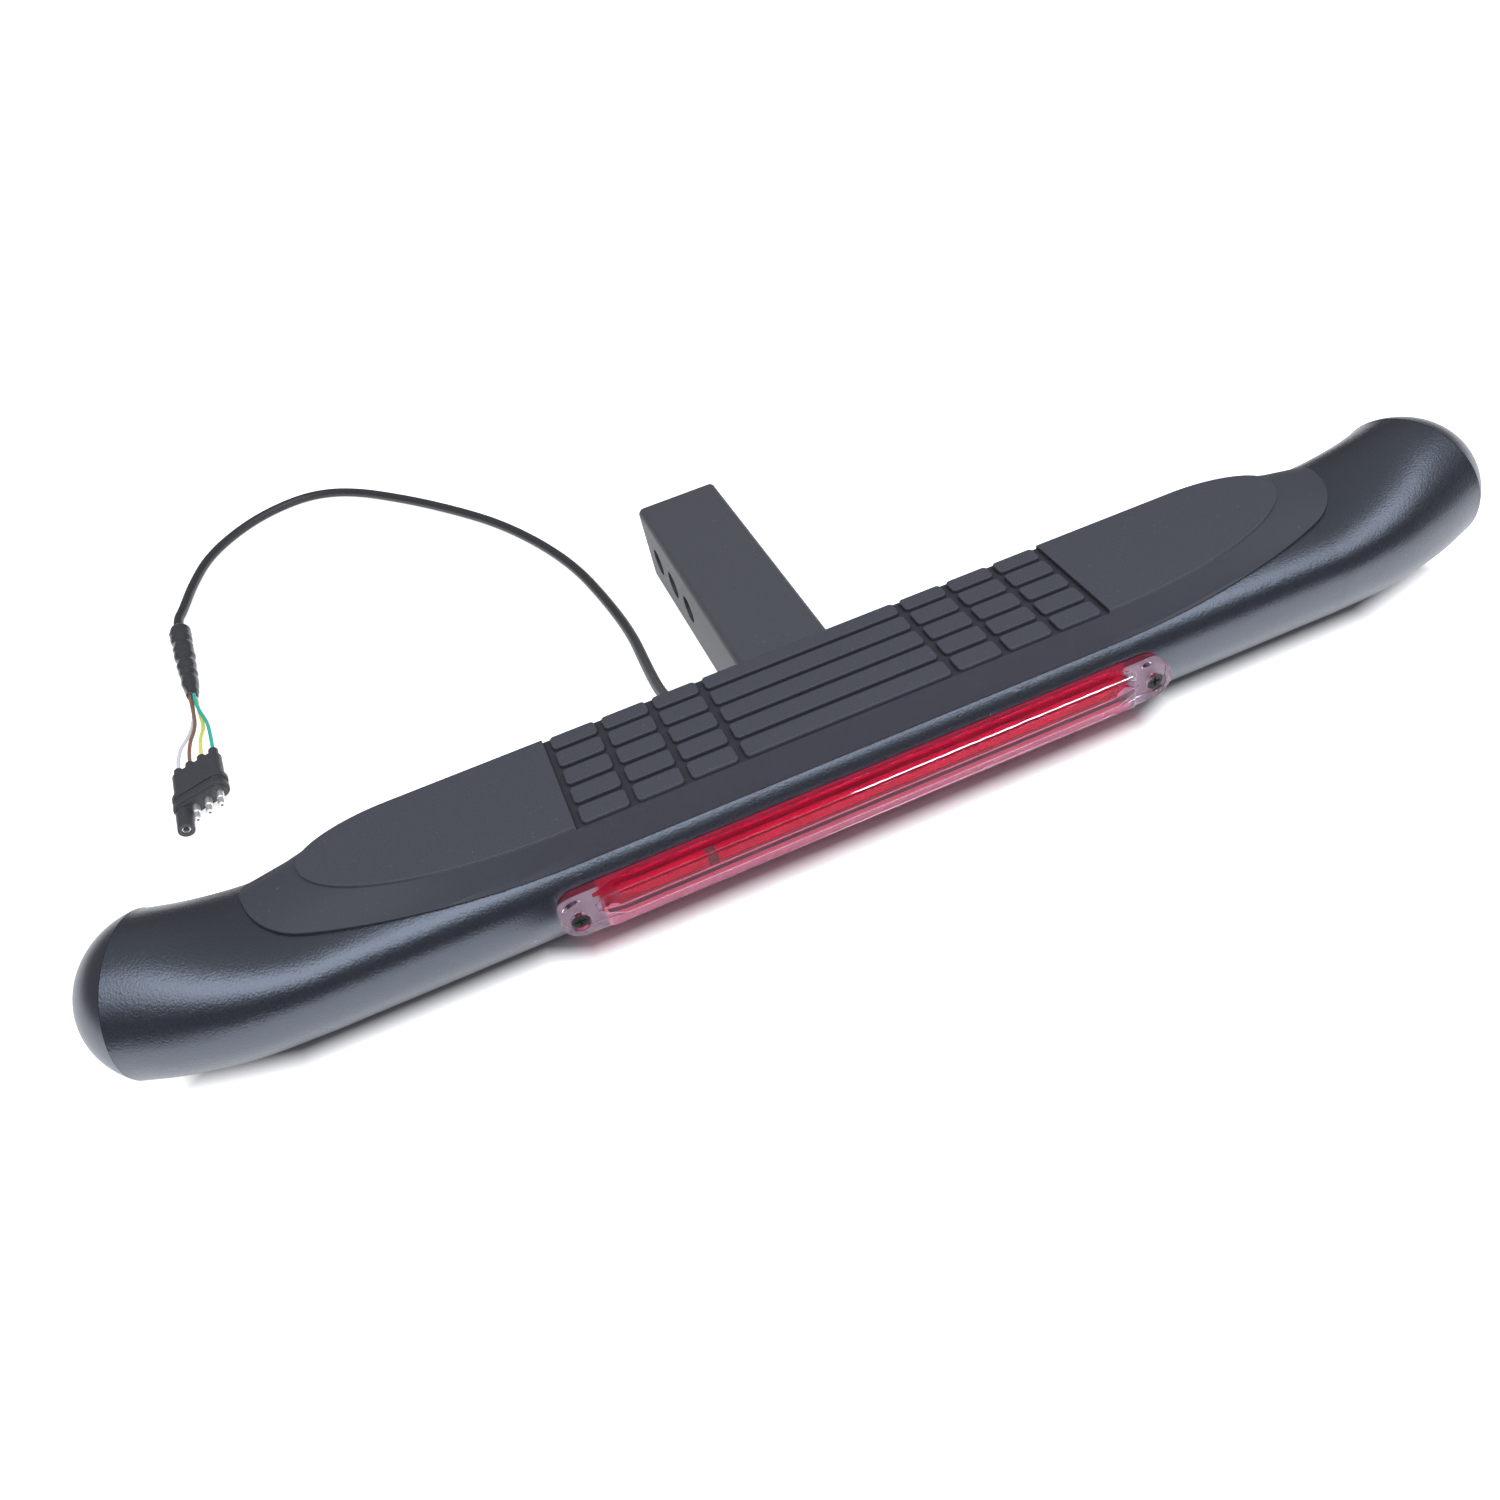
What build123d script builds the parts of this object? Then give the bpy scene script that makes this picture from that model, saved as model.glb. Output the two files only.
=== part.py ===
from build123d import *
import os
from math import copysign, cos, pi, radians, sin, sqrt, tan

# Hitch receiver step: a pressed and bent tube with a tread pad, a square shank for a two inch
# receiver, a red light strip and its cord. X runs along the tube, +Y to the vehicle, +Z up.
# The origin is on the floor, under the middle of the step without its cord.

# Tube: round at its ends, pressed flat on top in the middle, ends bent back and a little up
tube_diameter = 76.2
tube_wall = 2.0
press_half_width = 41.4
press_seat = 24.0
press_shoulder = 3.0
press_lead = 28.0
press_fade = 75.0
bend_start = 283.0
bend_radius = 150.0
bend_angle = 20.0
bend_tilt = 20.0
hollow_overrun = 8.0
seat_gap = 0.15

# End caps
dome_height = 27.0
cap_wall = 2.5
spigot_length = 14.0
spigot_clearance = 0.2

# Receiver shank, with its pin holes counted from the open end
shank_size = 50.8
shank_wall = 6.0
shank_corner = 4.0
shank_inner_corner = 2.0
shank_start = 20.0
shank_reach = 242.1
shank_end_chamfer = 1.5
pin_hole_diameter = 16.7
pin_hole_inset = 25.4
pin_hole_pitch = 29.2
pin_hole_count = 3

# Weld between the shank and the tube
weld_leg = 6.0
weld_toe = 0.6
weld_floor = 1.0
weld_clearance = 0.3

# Pad: plateau outline, lip, skirt and tread
pad_height = 11.5
lip_height = 1.8
lip_round = 0.7
plateau_front = 32.4
plateau_back = 32.8
plateau_tip = 251.0
tip_sweep = 14.0
front_straight = 131.0
back_straight = 207.0
skirt_drop = 9.1
skirt_flare = 3.8
skirt_run = 81.0
skirt_trim = 40.0
field_half = 130.7
tread_depth = 2.2
groove_across = 3.4
groove_along = 2.7
block_width = 22.2
block_depth = 10.9
block_corner = 2.2
block_round = 0.6
tread_inset = 0.8
side_columns = 3
tread_rows = 5

# Push-in clips under the pad
clip_places = (-200.0, -70.0, 70.0, 200.0)
clip_shaft = 6.0
clip_head = 14.0
clip_head_height = 2.0
clip_barb = 8.5
clip_barb_length = 6.0
clip_clearance = 0.3

# Light strip on the front of the tube
light_length = 305.0
light_height = 20.5
light_depth = 10.5
lug_depth = 8.5
lug_length = 20.0
face_bevel = 30.0
light_drop = 0.2
gasket_least = 0.8
gasket_inset = 1.2
cavity_height = 13.0
cavity_depth = 8.0
cavity_tip_inset = 17.0
cavity_hip = 12.0
base_thickness = 1.6
base_clearance = 0.15
board_inset = 30.0
board_height = 7.0
board_thickness = 1.2
led_count = 12
led_size = 3.5
led_thickness = 1.0
guide_height = 8.4
guide_margin = 3.0
guide_flange = 0.8
guide_ridge = 2.6
guide_ridge_width = 0.6
guide_hip = 11.0
guide_edge = 0.5
guide_joint_place = -80.0
guide_joint = 5.0
led_clearance = 0.3

# Light screws
screw_inset = 8.4
screw_drop = 1.8
screw_diameter = 4.2
screw_head = 9.0
screw_head_height = 2.6
screw_reach = 9.0
screw_recess = 1.3
screw_clearance = 0.2
recess_length = 5.0
recess_width = 1.1

# Lead through the tube, grommet and cord
lead_place = -62.0
lead_diameter = 5.0
lead_clearance = 0.3
grommet_neck = 11.0
grommet_flange = 15.0
grommet_outer = 2.8
grommet_inner = 2.2
grommet_gap = 0.4
cord_diameter = 6.4
wire_diameter = 2.2

# Flat four-way plug, lying tilted on the floor
plug_place = (-322.7, 215.1, 11.2)
plug_turn = (4.6, -11.6, 2.35)
plug_pitch = 7.8
plug_width = 31.2
plug_thickness = 9.6
plug_length = 38.0
collar_diameter = 5.6
collar_length = 6.5
ridge_places = (25.5, 32.6)
ridge_length = 3.4
ridge_overhang = 1.5
shroud_diameter = 9.3
shroud_length = 15.0
shroud_bore = 4.8
sleeve_wall = 0.5
pin_diameter = 4.0
pin_length = 12.0
pin_root = 6.0
pin_waist = 0.5
pin_hollow = 1.7
contact_clearance = 0.1

# Places that follow from the sizes
tube_radius = tube_diameter / 2
light_reach = press_half_width + gasket_least + light_depth
tube_y = (light_reach - shank_reach) / 2
tube_z = tube_radius
seat_z = tube_z + press_seat
press_half_length = bend_start - press_lead
tube_end = bend_start + bend_radius * radians(bend_angle)
shank_end = tube_y + shank_reach
shank_z = shank_size / 2
lip_base = seat_z + pad_height - lip_height
plateau_top = seat_z + pad_height
light_plane = Plane(
    origin=(0, tube_y - press_half_width - gasket_least, tube_z - light_drop),
    x_dir=(1, 0, 0),
    z_dir=(0, -1, 0),
)
light_z = tube_z - light_drop
screw_x = light_length / 2 - screw_inset
screw_places = [(-screw_x, -screw_drop), (screw_x, -screw_drop)]
board_length = light_length - 2 * board_inset
cord_exit_y = tube_y + press_half_width + grommet_gap + grommet_outer
# The tube's inner wall curves towards the grommet's inner flange by this much at its edge
flange_share = (grommet_flange / 2 + light_drop) / (tube_radius - tube_wall)
grommet_curve_room = (press_half_width - tube_wall) * (1 - sqrt(1 - flange_share**2)) + seat_gap

section_points = 24
bend_sections = 9


def press_at(station):
    """Share of the press at a distance along the axis: 1 in the middle, 0 at the round end."""
    share = min(max((station - press_half_length) / press_fade, 0), 1)
    return 1 - share * share * (3 - 2 * share)


def axis_plane(station):
    """Plane across the right half of the tube, with its own X to the back and its Y up."""
    angle = max(station - bend_start, 0) / bend_radius
    lean = Vector(0, cos(radians(bend_tilt)), sin(radians(bend_tilt)))
    hinge = Axis((0, 0, 0), (0, -lean.Z, lean.Y))
    straight = Vector(min(station, bend_start), tube_y, tube_z)
    origin = straight + Vector(bend_radius * sin(angle), 0, 0) + lean * (bend_radius * (1 - cos(angle)))
    degrees = angle * 180 / pi
    return Plane(
        origin=origin,
        x_dir=Vector(0, 1, 0).rotate(hinge, degrees),
        z_dir=Vector(1, 0, 0).rotate(hinge, degrees),
    )


def tube_section(plane, press, grow):
    """Face across the tube: half an ellipse below, a flattened superellipse above."""
    half = tube_radius + press * (press_half_width - tube_radius) + grow
    seat = tube_radius + press * (press_seat - tube_radius) + grow
    power = 2 / (2 + press * (press_shoulder - 2))
    points = []
    for k in range(section_points):
        c = cos(2 * pi * k / section_points)
        s = sin(2 * pi * k / section_points)
        if s > 0:
            points.append((half * copysign(abs(c) ** power, c), seat * s**power))
        else:
            points.append((half * c, (tube_radius + grow) * s))
    with BuildSketch(plane, mode=Mode.PRIVATE) as section:
        with BuildLine():
            Spline(*points, periodic=True)
        make_face()
    return section.sketch


def bar_solid(grow, overrun):
    """The tube's whole form without its hollow, grown outwards, its ends carried on by an overrun."""
    step = (tube_end + overrun - press_half_length) / (bend_sections - 1)
    stations = [press_half_length + k * step for k in range(bend_sections)]
    with BuildPart() as bar:
        loft(sections=[tube_section(axis_plane(s), press_at(s), grow) for s in stations])
        mirror(about=Plane.YZ)
        extrude(tube_section(axis_plane(-press_half_length), 1, grow), amount=2 * press_half_length)
    return bar.part


bar_outer = bar_solid(0, 0)
bar_inner = bar_solid(-tube_wall, hollow_overrun)
bar_seat = bar_solid(seat_gap, 0)

with BuildPart() as step_tube:
    add(bar_outer)
    add(bar_inner, mode=Mode.SUBTRACT)
    # Clip holes in the seat, then screw and lead holes in the front wall
    with BuildSketch(Plane((0, tube_y, tube_z))):
        with Locations(*[(x, 0) for x in clip_places]):
            Circle(clip_shaft / 2 + clip_clearance)
    extrude(amount=tube_radius, mode=Mode.SUBTRACT)
    with BuildSketch(light_plane.offset(-press_half_width)):
        with Locations(*screw_places):
            Circle(screw_diameter / 2 + screw_clearance)
        with Locations((lead_place, 0)):
            Circle(lead_diameter / 2 + lead_clearance)
    extrude(amount=press_half_width, mode=Mode.SUBTRACT)
    # Grommet hole in the back wall
    with BuildSketch(Plane(origin=(lead_place, tube_y, light_z), x_dir=(-1, 0, 0), z_dir=(0, 1, 0))):
        Circle(grommet_neck / 2 + seat_gap)
    extrude(amount=press_half_width + tube_wall, mode=Mode.SUBTRACT)

end_plane = axis_plane(tube_end).offset(seat_gap)
cap_plane = Plane(
    origin=end_plane.origin,
    x_dir=end_plane.x_dir,
    z_dir=end_plane.x_dir.cross(end_plane.z_dir),
)
spigot_radius = tube_radius - tube_wall - spigot_clearance
spigot_taper = spigot_length**2 / (2 * bend_radius)

with BuildPart() as right_end_cap:
    with BuildSketch(cap_plane):
        with BuildLine():
            dome_radius = (tube_radius**2 + dome_height**2) / (2 * dome_height)
            RadiusArc((0, dome_height), (tube_radius, 0), dome_radius)
            Polyline(
                (tube_radius, 0),
                (spigot_radius, 0),
                (spigot_radius - spigot_taper, -spigot_length),
                (spigot_radius - spigot_taper - cap_wall, -spigot_length),
                (spigot_radius - cap_wall, 0),
            )
            hollow_radius = spigot_radius - cap_wall
            hollow_height = dome_height - cap_wall
            inner_radius = (hollow_radius**2 + hollow_height**2) / (2 * hollow_height)
            RadiusArc((hollow_radius, 0), (0, hollow_height), -inner_radius)
            Line((0, hollow_height), (0, dome_height))
        make_face()
    revolve(axis=Axis(end_plane.origin, end_plane.z_dir))

with BuildPart() as left_end_cap:
    mirror(right_end_cap.part, about=Plane.YZ)

shank_plane = Plane(origin=(0, tube_y + shank_start, shank_z), x_dir=(1, 0, 0), z_dir=(0, 1, 0))
pin_holes = [shank_end - pin_hole_inset - k * pin_hole_pitch for k in range(pin_hole_count)]

with BuildPart() as receiver_shank:
    with BuildSketch(shank_plane):
        RectangleRounded(shank_size, shank_size, shank_corner)
        hollow = shank_size - 2 * shank_wall
        RectangleRounded(hollow, hollow, shank_inner_corner, mode=Mode.SUBTRACT)
    extrude(amount=shank_reach - shank_start)
    chamfer(receiver_shank.faces().sort_by(Axis.Y)[-1].outer_wire().edges(), shank_end_chamfer)
    with BuildSketch(Plane.YZ):
        with Locations(*[(y, shank_z) for y in pin_holes]):
            Circle(pin_hole_diameter / 2)
    extrude(amount=shank_size, both=True, mode=Mode.SUBTRACT)
    add(bar_seat, mode=Mode.SUBTRACT)


def weld_form(grow):
    """Bead round the shank, before the shank and the tube are taken out of it, grown outwards."""
    root = Plane(origin=(0, tube_y + shank_start, 0), x_dir=(-1, 0, 0), z_dir=(0, 1, 0))
    toe = root.offset(press_half_width + weld_leg - shank_start)
    with BuildPart() as bead:
        for plane, leg in ((root, weld_leg + grow), (toe, weld_toe + grow)):
            with BuildSketch(plane):
                with Locations((0, weld_floor)):
                    Rectangle(
                        shank_size + 2 * leg,
                        shank_size + leg - weld_floor,
                        align=(Align.CENTER, Align.MIN),
                    )
        loft(ruled=True)
    return bead.part


with BuildPart() as shank_weld:
    add(weld_form(0))
    with BuildSketch(shank_plane):
        RectangleRounded(shank_size, shank_size, shank_corner)
    extrude(amount=shank_reach, mode=Mode.SUBTRACT)
    add(bar_seat, mode=Mode.SUBTRACT)


def pad_outline(level, flare, run):
    """Face with the pad's plan outline: straight front and back, tips swept back."""
    front = plateau_front + flare
    back = plateau_back + flare
    tip = plateau_tip + run
    with BuildSketch(Plane((0, tube_y, level)), mode=Mode.PRIVATE) as outline:
        with BuildLine():
            Line((-front_straight, -front), (front_straight, -front))
            front_arc = (tip - front_straight, front + tip_sweep)
            back_arc = (tip - back_straight, back - tip_sweep)
            EllipticalCenterArc((front_straight, tip_sweep), *front_arc, start_angle=270, arc_size=90)
            EllipticalCenterArc((back_straight, tip_sweep), *back_arc, start_angle=0, arc_size=90)
            Line((back_straight, back), (-back_straight, back))
            EllipticalCenterArc((-back_straight, tip_sweep), *back_arc, start_angle=90, arc_size=90)
            EllipticalCenterArc((-front_straight, tip_sweep), *front_arc, start_angle=180, arc_size=90)
        make_face()
    return outline.sketch


field_front = tread_inset - plateau_front
field_back = plateau_back - tread_inset
row_fronts = [field_front + k * (block_depth + groove_along) for k in range(tread_rows)]
rows = [(front, min(block_depth, field_back - front)) for front in row_fronts]
column_pitch = block_width + groove_across
column_places = [field_half - groove_across - block_width / 2 - k * column_pitch for k in range(side_columns)]
middle_half = field_half - side_columns * column_pitch - groove_across

with BuildPart() as tread:
    with BuildSketch(Plane((0, tube_y, plateau_top - tread_depth))):
        for front, depth in rows:
            y = front + depth / 2
            for x in column_places:
                with Locations((-x, y), (x, y)):
                    RectangleRounded(block_width, depth, block_corner)
            with Locations((0, y)):
                RectangleRounded(2 * middle_half, depth, block_corner)
    extrude(amount=tread_depth)
    fillet(tread.faces().group_by(Axis.Z)[-1].edges(), block_round)

with BuildPart() as step_pad:
    loft(
        sections=[
            pad_outline(seat_z - skirt_drop, skirt_flare, skirt_run),
            pad_outline(lip_base, 0, 0),
        ],
        ruled=True,
    )
    extrude(pad_outline(lip_base, 0, 0), amount=lip_height)
    fillet(step_pad.faces().sort_by(Axis.Z)[-1].edges(), lip_round)
    with Locations((0, tube_y, plateau_top)):
        Box(2 * (plateau_tip + skirt_trim), 4 * plateau_back, 4 * plateau_back, mode=Mode.INTERSECT)
    with Locations((0, tube_y, plateau_top)):
        Box(2 * field_half, 4 * plateau_back, 2 * tread_depth, mode=Mode.SUBTRACT)
    add(tread.part)
    add(bar_seat, mode=Mode.SUBTRACT)
    add(weld_form(weld_clearance), mode=Mode.SUBTRACT)
    with BuildSketch(Plane((0, tube_y, seat_z))):
        with Locations(*[(x, 0) for x in clip_places]):
            Circle(clip_head / 2 + clip_clearance)
    extrude(amount=seat_gap + clip_head_height + clip_clearance, mode=Mode.SUBTRACT)

with BuildPart() as pad_clips:
    for x in clip_places:
        with BuildSketch(Plane(origin=(x, tube_y, seat_z + seat_gap), x_dir=(1, 0, 0), z_dir=(0, -1, 0))):
            with BuildLine():
                under_wall = -(tube_wall + 2 * seat_gap)
                Polyline(
                    (0, clip_head_height),
                    (clip_head / 2, clip_head_height),
                    (clip_head / 2, 0),
                    (clip_shaft / 2, 0),
                    (clip_shaft / 2, under_wall),
                    (clip_barb / 2, under_wall),
                    (clip_shaft / 4, under_wall - clip_barb_length),
                    (0, under_wall - clip_barb_length),
                    close=True,
                )
            make_face()
        revolve(axis=Axis((x, tube_y, 0), (0, 0, 1)))


def cavity_outline(inset):
    """Corners of the long hollow in the lens, pointed at both ends, drawn smaller by an inset."""
    tip = light_length / 2 - cavity_tip_inset - inset
    half = cavity_height / 2 - inset
    full = tip - cavity_hip
    return [(tip, 0), (full, half), (-full, half), (-tip, 0), (-full, -half), (full, -half)]


with BuildPart() as light_lens:
    with BuildSketch(light_plane):
        SlotOverall(light_length, light_height)
    extrude(amount=lug_depth)
    with BuildSketch(light_plane.offset(lug_depth)):
        Rectangle(light_length - 2 * lug_length, light_height)
    extrude(amount=light_depth - lug_depth, taper=face_bevel)
    with BuildSketch(light_plane):
        with BuildLine():
            Polyline(*cavity_outline(0), close=True)
        make_face()
    extrude(amount=cavity_depth, mode=Mode.SUBTRACT)
    with Locations(light_plane.offset(lug_depth)):
        with Locations(*screw_places):
            CounterBoreHole(
                screw_diameter / 2 + screw_clearance,
                screw_head / 2 + screw_clearance,
                screw_head_height + screw_recess,
                depth=lug_depth,
            )

with BuildPart() as light_base:
    with BuildSketch(light_plane):
        with BuildLine():
            Polyline(*cavity_outline(base_clearance), close=True)
        make_face()
        with Locations((lead_place, 0)):
            Circle(lead_diameter / 2 + lead_clearance, mode=Mode.SUBTRACT)
    extrude(amount=base_thickness)

board_plane = light_plane.offset(base_thickness)

with BuildPart() as led_board:
    with BuildSketch(board_plane):
        Rectangle(board_length, board_height)
    extrude(amount=board_thickness)

led_pitch = board_length / led_count
lamp_plane = board_plane.offset(board_thickness)

with BuildPart() as leds:
    with BuildSketch(lamp_plane):
        with GridLocations(led_pitch, 0, led_count, 1):
            Rectangle(led_size, led_size)
    extrude(amount=led_thickness)

guide_length = board_length + 2 * guide_margin

with BuildPart() as light_guide:
    with BuildSketch(lamp_plane):
        Rectangle(guide_length, guide_height)
    extrude(amount=guide_flange)
    with BuildSketch(lamp_plane.offset(guide_flange)):
        Rectangle(guide_length - 2 * guide_edge, guide_height - 2 * guide_edge)
    with BuildSketch(lamp_plane.offset(guide_flange + guide_ridge)):
        Rectangle(guide_length - 2 * guide_hip, guide_ridge_width)
    loft(ruled=True)
    with BuildSketch(lamp_plane):
        Rectangle(board_length - led_pitch + led_size + 2 * led_clearance, led_size + 2 * led_clearance)
    extrude(amount=led_thickness + led_clearance, mode=Mode.SUBTRACT)
    # Gap between the guide's two lengths
    with BuildSketch(lamp_plane):
        with Locations((guide_joint_place, 0)):
            Rectangle(guide_joint, 2 * guide_height)
    extrude(amount=guide_flange + guide_ridge, mode=Mode.SUBTRACT)

with BuildPart() as light_gasket:
    with BuildSketch(light_plane):
        SlotOverall(light_length - 2 * gasket_inset, light_height - 2 * gasket_inset)
        with Locations(*screw_places):
            Circle(screw_diameter / 2 + screw_clearance, mode=Mode.SUBTRACT)
        with Locations((lead_place, 0)):
            Circle(lead_diameter / 2 + lead_clearance, mode=Mode.SUBTRACT)
    extrude(amount=-light_height / 4)
    add(bar_seat, mode=Mode.SUBTRACT)

head_plane = light_plane.offset(lug_depth - screw_recess)

with BuildPart() as light_screws:
    with BuildSketch(head_plane):
        with Locations(*screw_places):
            Circle(screw_head / 2)
    extrude(amount=-screw_head_height)
    fillet(light_screws.faces().group_by(Axis.Y)[0].edges(), screw_head_height / 3)
    with BuildSketch(head_plane.offset(-screw_head_height)):
        with Locations(*screw_places):
            Circle(screw_diameter / 2)
    extrude(amount=-(lug_depth - screw_recess - screw_head_height + gasket_least + screw_reach))
    with BuildSketch(head_plane):
        with Locations(*screw_places):
            Rectangle(recess_length, recess_width)
            Rectangle(recess_width, recess_length)
    extrude(amount=-screw_head_height / 2, mode=Mode.SUBTRACT)

lead_axis_plane = Plane(origin=(lead_place, cord_exit_y, light_z), x_dir=(1, 0, 0), z_dir=(0, -1, 0))

with BuildPart() as light_lead:
    with BuildSketch(lead_axis_plane):
        Circle(lead_diameter / 2)
    extrude(amount=cord_exit_y - board_plane.origin.Y)

with BuildPart() as cord_grommet:
    with BuildSketch(lead_axis_plane):
        Circle(grommet_flange / 2)
    extrude(amount=grommet_outer)
    with BuildSketch(lead_axis_plane):
        Circle(grommet_neck / 2)
    grommet_depth = grommet_outer + grommet_gap + tube_wall + grommet_curve_room
    extrude(amount=grommet_depth + grommet_inner)
    with BuildSketch(lead_axis_plane.offset(grommet_depth)):
        Circle(grommet_flange / 2)
    extrude(amount=grommet_inner)
    with BuildSketch(lead_axis_plane):
        Circle(lead_diameter / 2 + seat_gap)
    extrude(amount=grommet_depth + grommet_inner, mode=Mode.SUBTRACT)


def strand(points, diameter, name):
    """Round strand along straight runs joined by arcs as large as the runs allow."""
    route = [Vector(*p) for p in points]
    radii = []
    for before, corner, after in zip(route, route[1:], route[2:]):
        turn = (corner - before).get_angle(after - corner)
        shorter = min((corner - before).length, (after - corner).length)
        radii.append(0.45 * shorter / tan(radians(turn / 2)))
    with BuildPart() as solid:
        with BuildLine() as path:
            FilletPolyline(*route, radius=radii)
        with BuildSketch(Plane(origin=path.wire() @ 0, z_dir=path.wire() % 0)):
            Circle(diameter / 2)
        sweep()
    ideal = pi * diameter**2 / 4 * path.wire().length
    print(name, "least radius", round(min(radii), 1), "volume ratio", round(solid.part.volume / ideal, 4))
    return solid


# Cord on the floor: from the grommet down behind the tube, out in a wide bow to the taped splice
cord_rest = cord_diameter / 2 + 0.1
tape_start = Vector(-333.9, tube_y + 385.2, 6.2)
tape_end = Vector(-325.7, tube_y + 293.0, 6.2)
tape_way = (tape_end - tape_start).normalized()
cord_points = [
    (lead_place, cord_exit_y, light_z),
    (lead_place, cord_exit_y + 20, light_z),
    (-63.9, tube_y + 90.4, 29.5),
    (-61.8, tube_y + 132.3, 17.5),
    (-58.8, tube_y + 182.6, 7.5),
    (-62.4, tube_y + 235.1, cord_rest),
    (-69.6, tube_y + 281.9, cord_rest),
    (-83.9, tube_y + 328.7, cord_rest),
    (-105.0, tube_y + 376.6, cord_rest),
    (-130.2, tube_y + 417.4, cord_rest),
    (-159.0, tube_y + 458.2, cord_rest),
    (-196.2, tube_y + 503.1, cord_rest),
    (-227.4, tube_y + 522.1, cord_rest),
    (-258.1, tube_y + 520.3, cord_rest),
    (-285.5, tube_y + 507.2, cord_rest),
    (-311.4, tube_y + 480.6, cord_rest),
    (-324.8, tube_y + 445.1, cord_rest),
    (-331.6, tube_y + 410.9, 4.4),
    tape_start - tape_way * 11,
    tape_start,
]
cord = strand(cord_points, cord_diameter, "cord")

# Lumpy splice: radius and distance along the wrap
tape_profile = [
    (4.1, 0.0), (5.6, 9.0), (6.0, 18.0), (5.4, 27.0), (6.1, 31.0), (5.9, 48.0),
    (5.2, 53.0), (6.0, 57.0), (5.6, 72.0), (4.9, 80.0), (4.0, (tape_end - tape_start).length),
]
tape_plane = Plane(origin=tape_start, x_dir=(0, 0, 1), z_dir=Vector(0, 0, 1).cross(tape_way))

with BuildPart() as tape_wrap:
    with BuildSketch(tape_plane):
        with BuildLine():
            Polyline((0, 0), *tape_profile, (0, tape_profile[-1][1]), close=True)
        make_face()
    revolve(axis=Axis(tape_start, tape_way))

plug_plane = Plane(
    origin=(plug_place[0], tube_y + plug_place[1], plug_place[2]),
    x_dir=(1, 0, 0),
    z_dir=(0, -1, 0),
).rotated(plug_turn)
circuits = [(k - 1.5) * plug_pitch for k in range(4)]

with BuildPart() as plug_body:
    with BuildSketch(plug_plane):
        for x in circuits:
            with Locations((x, 0)):
                Circle(collar_diameter / 2)
    extrude(amount=collar_length)
    with BuildSketch(plug_plane.offset(collar_length)):
        SlotOverall(plug_width, plug_thickness)
    extrude(amount=plug_length - collar_length)
    for place in ridge_places:
        with BuildSketch(plug_plane.offset(place)):
            SlotOverall(plug_width + 2 * ridge_overhang, plug_thickness + 2 * ridge_overhang)
        extrude(amount=ridge_length)
    with BuildSketch(plug_plane.offset(plug_length)):
        with Locations((circuits[0], 0)):
            Circle(shroud_diameter / 2)
    extrude(amount=shroud_length)
    with BuildSketch(plug_plane.offset(plug_length + shroud_length)):
        with Locations((circuits[0], 0)):
            Circle(shroud_bore / 2)
    extrude(amount=-shroud_length, mode=Mode.SUBTRACT)
    with BuildSketch(plug_plane.offset(plug_length)):
        with Locations(*[(x, 0) for x in circuits[1:]]):
            Circle(pin_diameter / 2 + contact_clearance)
    extrude(amount=-pin_root, mode=Mode.SUBTRACT)

pin_base = plug_plane.offset(plug_length - pin_root)

with BuildPart() as plug_pins:
    for x in circuits[1:]:
        foot = pin_base.from_local_coords((x, 0, 0))
        with BuildSketch(Plane(origin=foot, x_dir=plug_plane.x_dir, z_dir=-plug_plane.y_dir)):
            with BuildLine():
                outer = pin_diameter / 2
                tip = pin_root + pin_length
                Polyline(
                    (0, 0),
                    (outer, 0),
                    (outer, pin_root + pin_length * 0.45),
                    (outer - pin_waist, pin_root + pin_length * 0.5),
                    (outer - pin_waist, pin_root + pin_length * 0.58),
                    (outer, pin_root + pin_length * 0.64),
                    (outer, tip - pin_waist),
                    (outer - pin_waist, tip),
                    (pin_hollow / 2, tip),
                    (pin_hollow / 2, tip - 2 * pin_hollow),
                    (0, tip - 2 * pin_hollow),
                    close=True,
                )
            make_face()
        revolve(axis=Axis(foot, plug_plane.z_dir))

with BuildPart() as plug_socket:
    with BuildSketch(plug_plane.offset(plug_length)):
        with Locations((circuits[0], 0)):
            Circle(shroud_bore / 2 - contact_clearance)
            Circle(shroud_bore / 2 - contact_clearance - sleeve_wall, mode=Mode.SUBTRACT)
    extrude(amount=shroud_length - 2 * sleeve_wall)


def plug_wire(circuit, start_side, start_rise, bow, name):
    """Wire from the splice to one collar of the plug, past one chosen point."""
    side = Vector(-tape_way.Y, tape_way.X, 0)
    start = tape_end + side * start_side + Vector(0, 0, start_rise)
    finish = plug_plane.from_local_coords((circuits[circuit], 0, 0))
    into = plug_plane.z_dir
    lead_in = 16
    bow_point = Vector(bow[0], tube_y + bow[1], bow[2])
    points = [start, start + tape_way * lead_in, bow_point, finish - into * lead_in, finish]
    return strand(points, wire_diameter, name)


white_wire = plug_wire(0, -1.3, -1.3, (-327.6, 254.0, 5.5), "white_wire")
brown_wire = plug_wire(1, -1.3, 1.3, (-322.7, 253.0, 9.5), "brown_wire")
yellow_wire = plug_wire(2, 1.3, -1.3, (-318.9, 253.5, 6.5), "yellow_wire")
green_wire = plug_wire(3, 1.3, 1.3, (-315.7, 254.0, 10.0), "green_wire")

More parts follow.
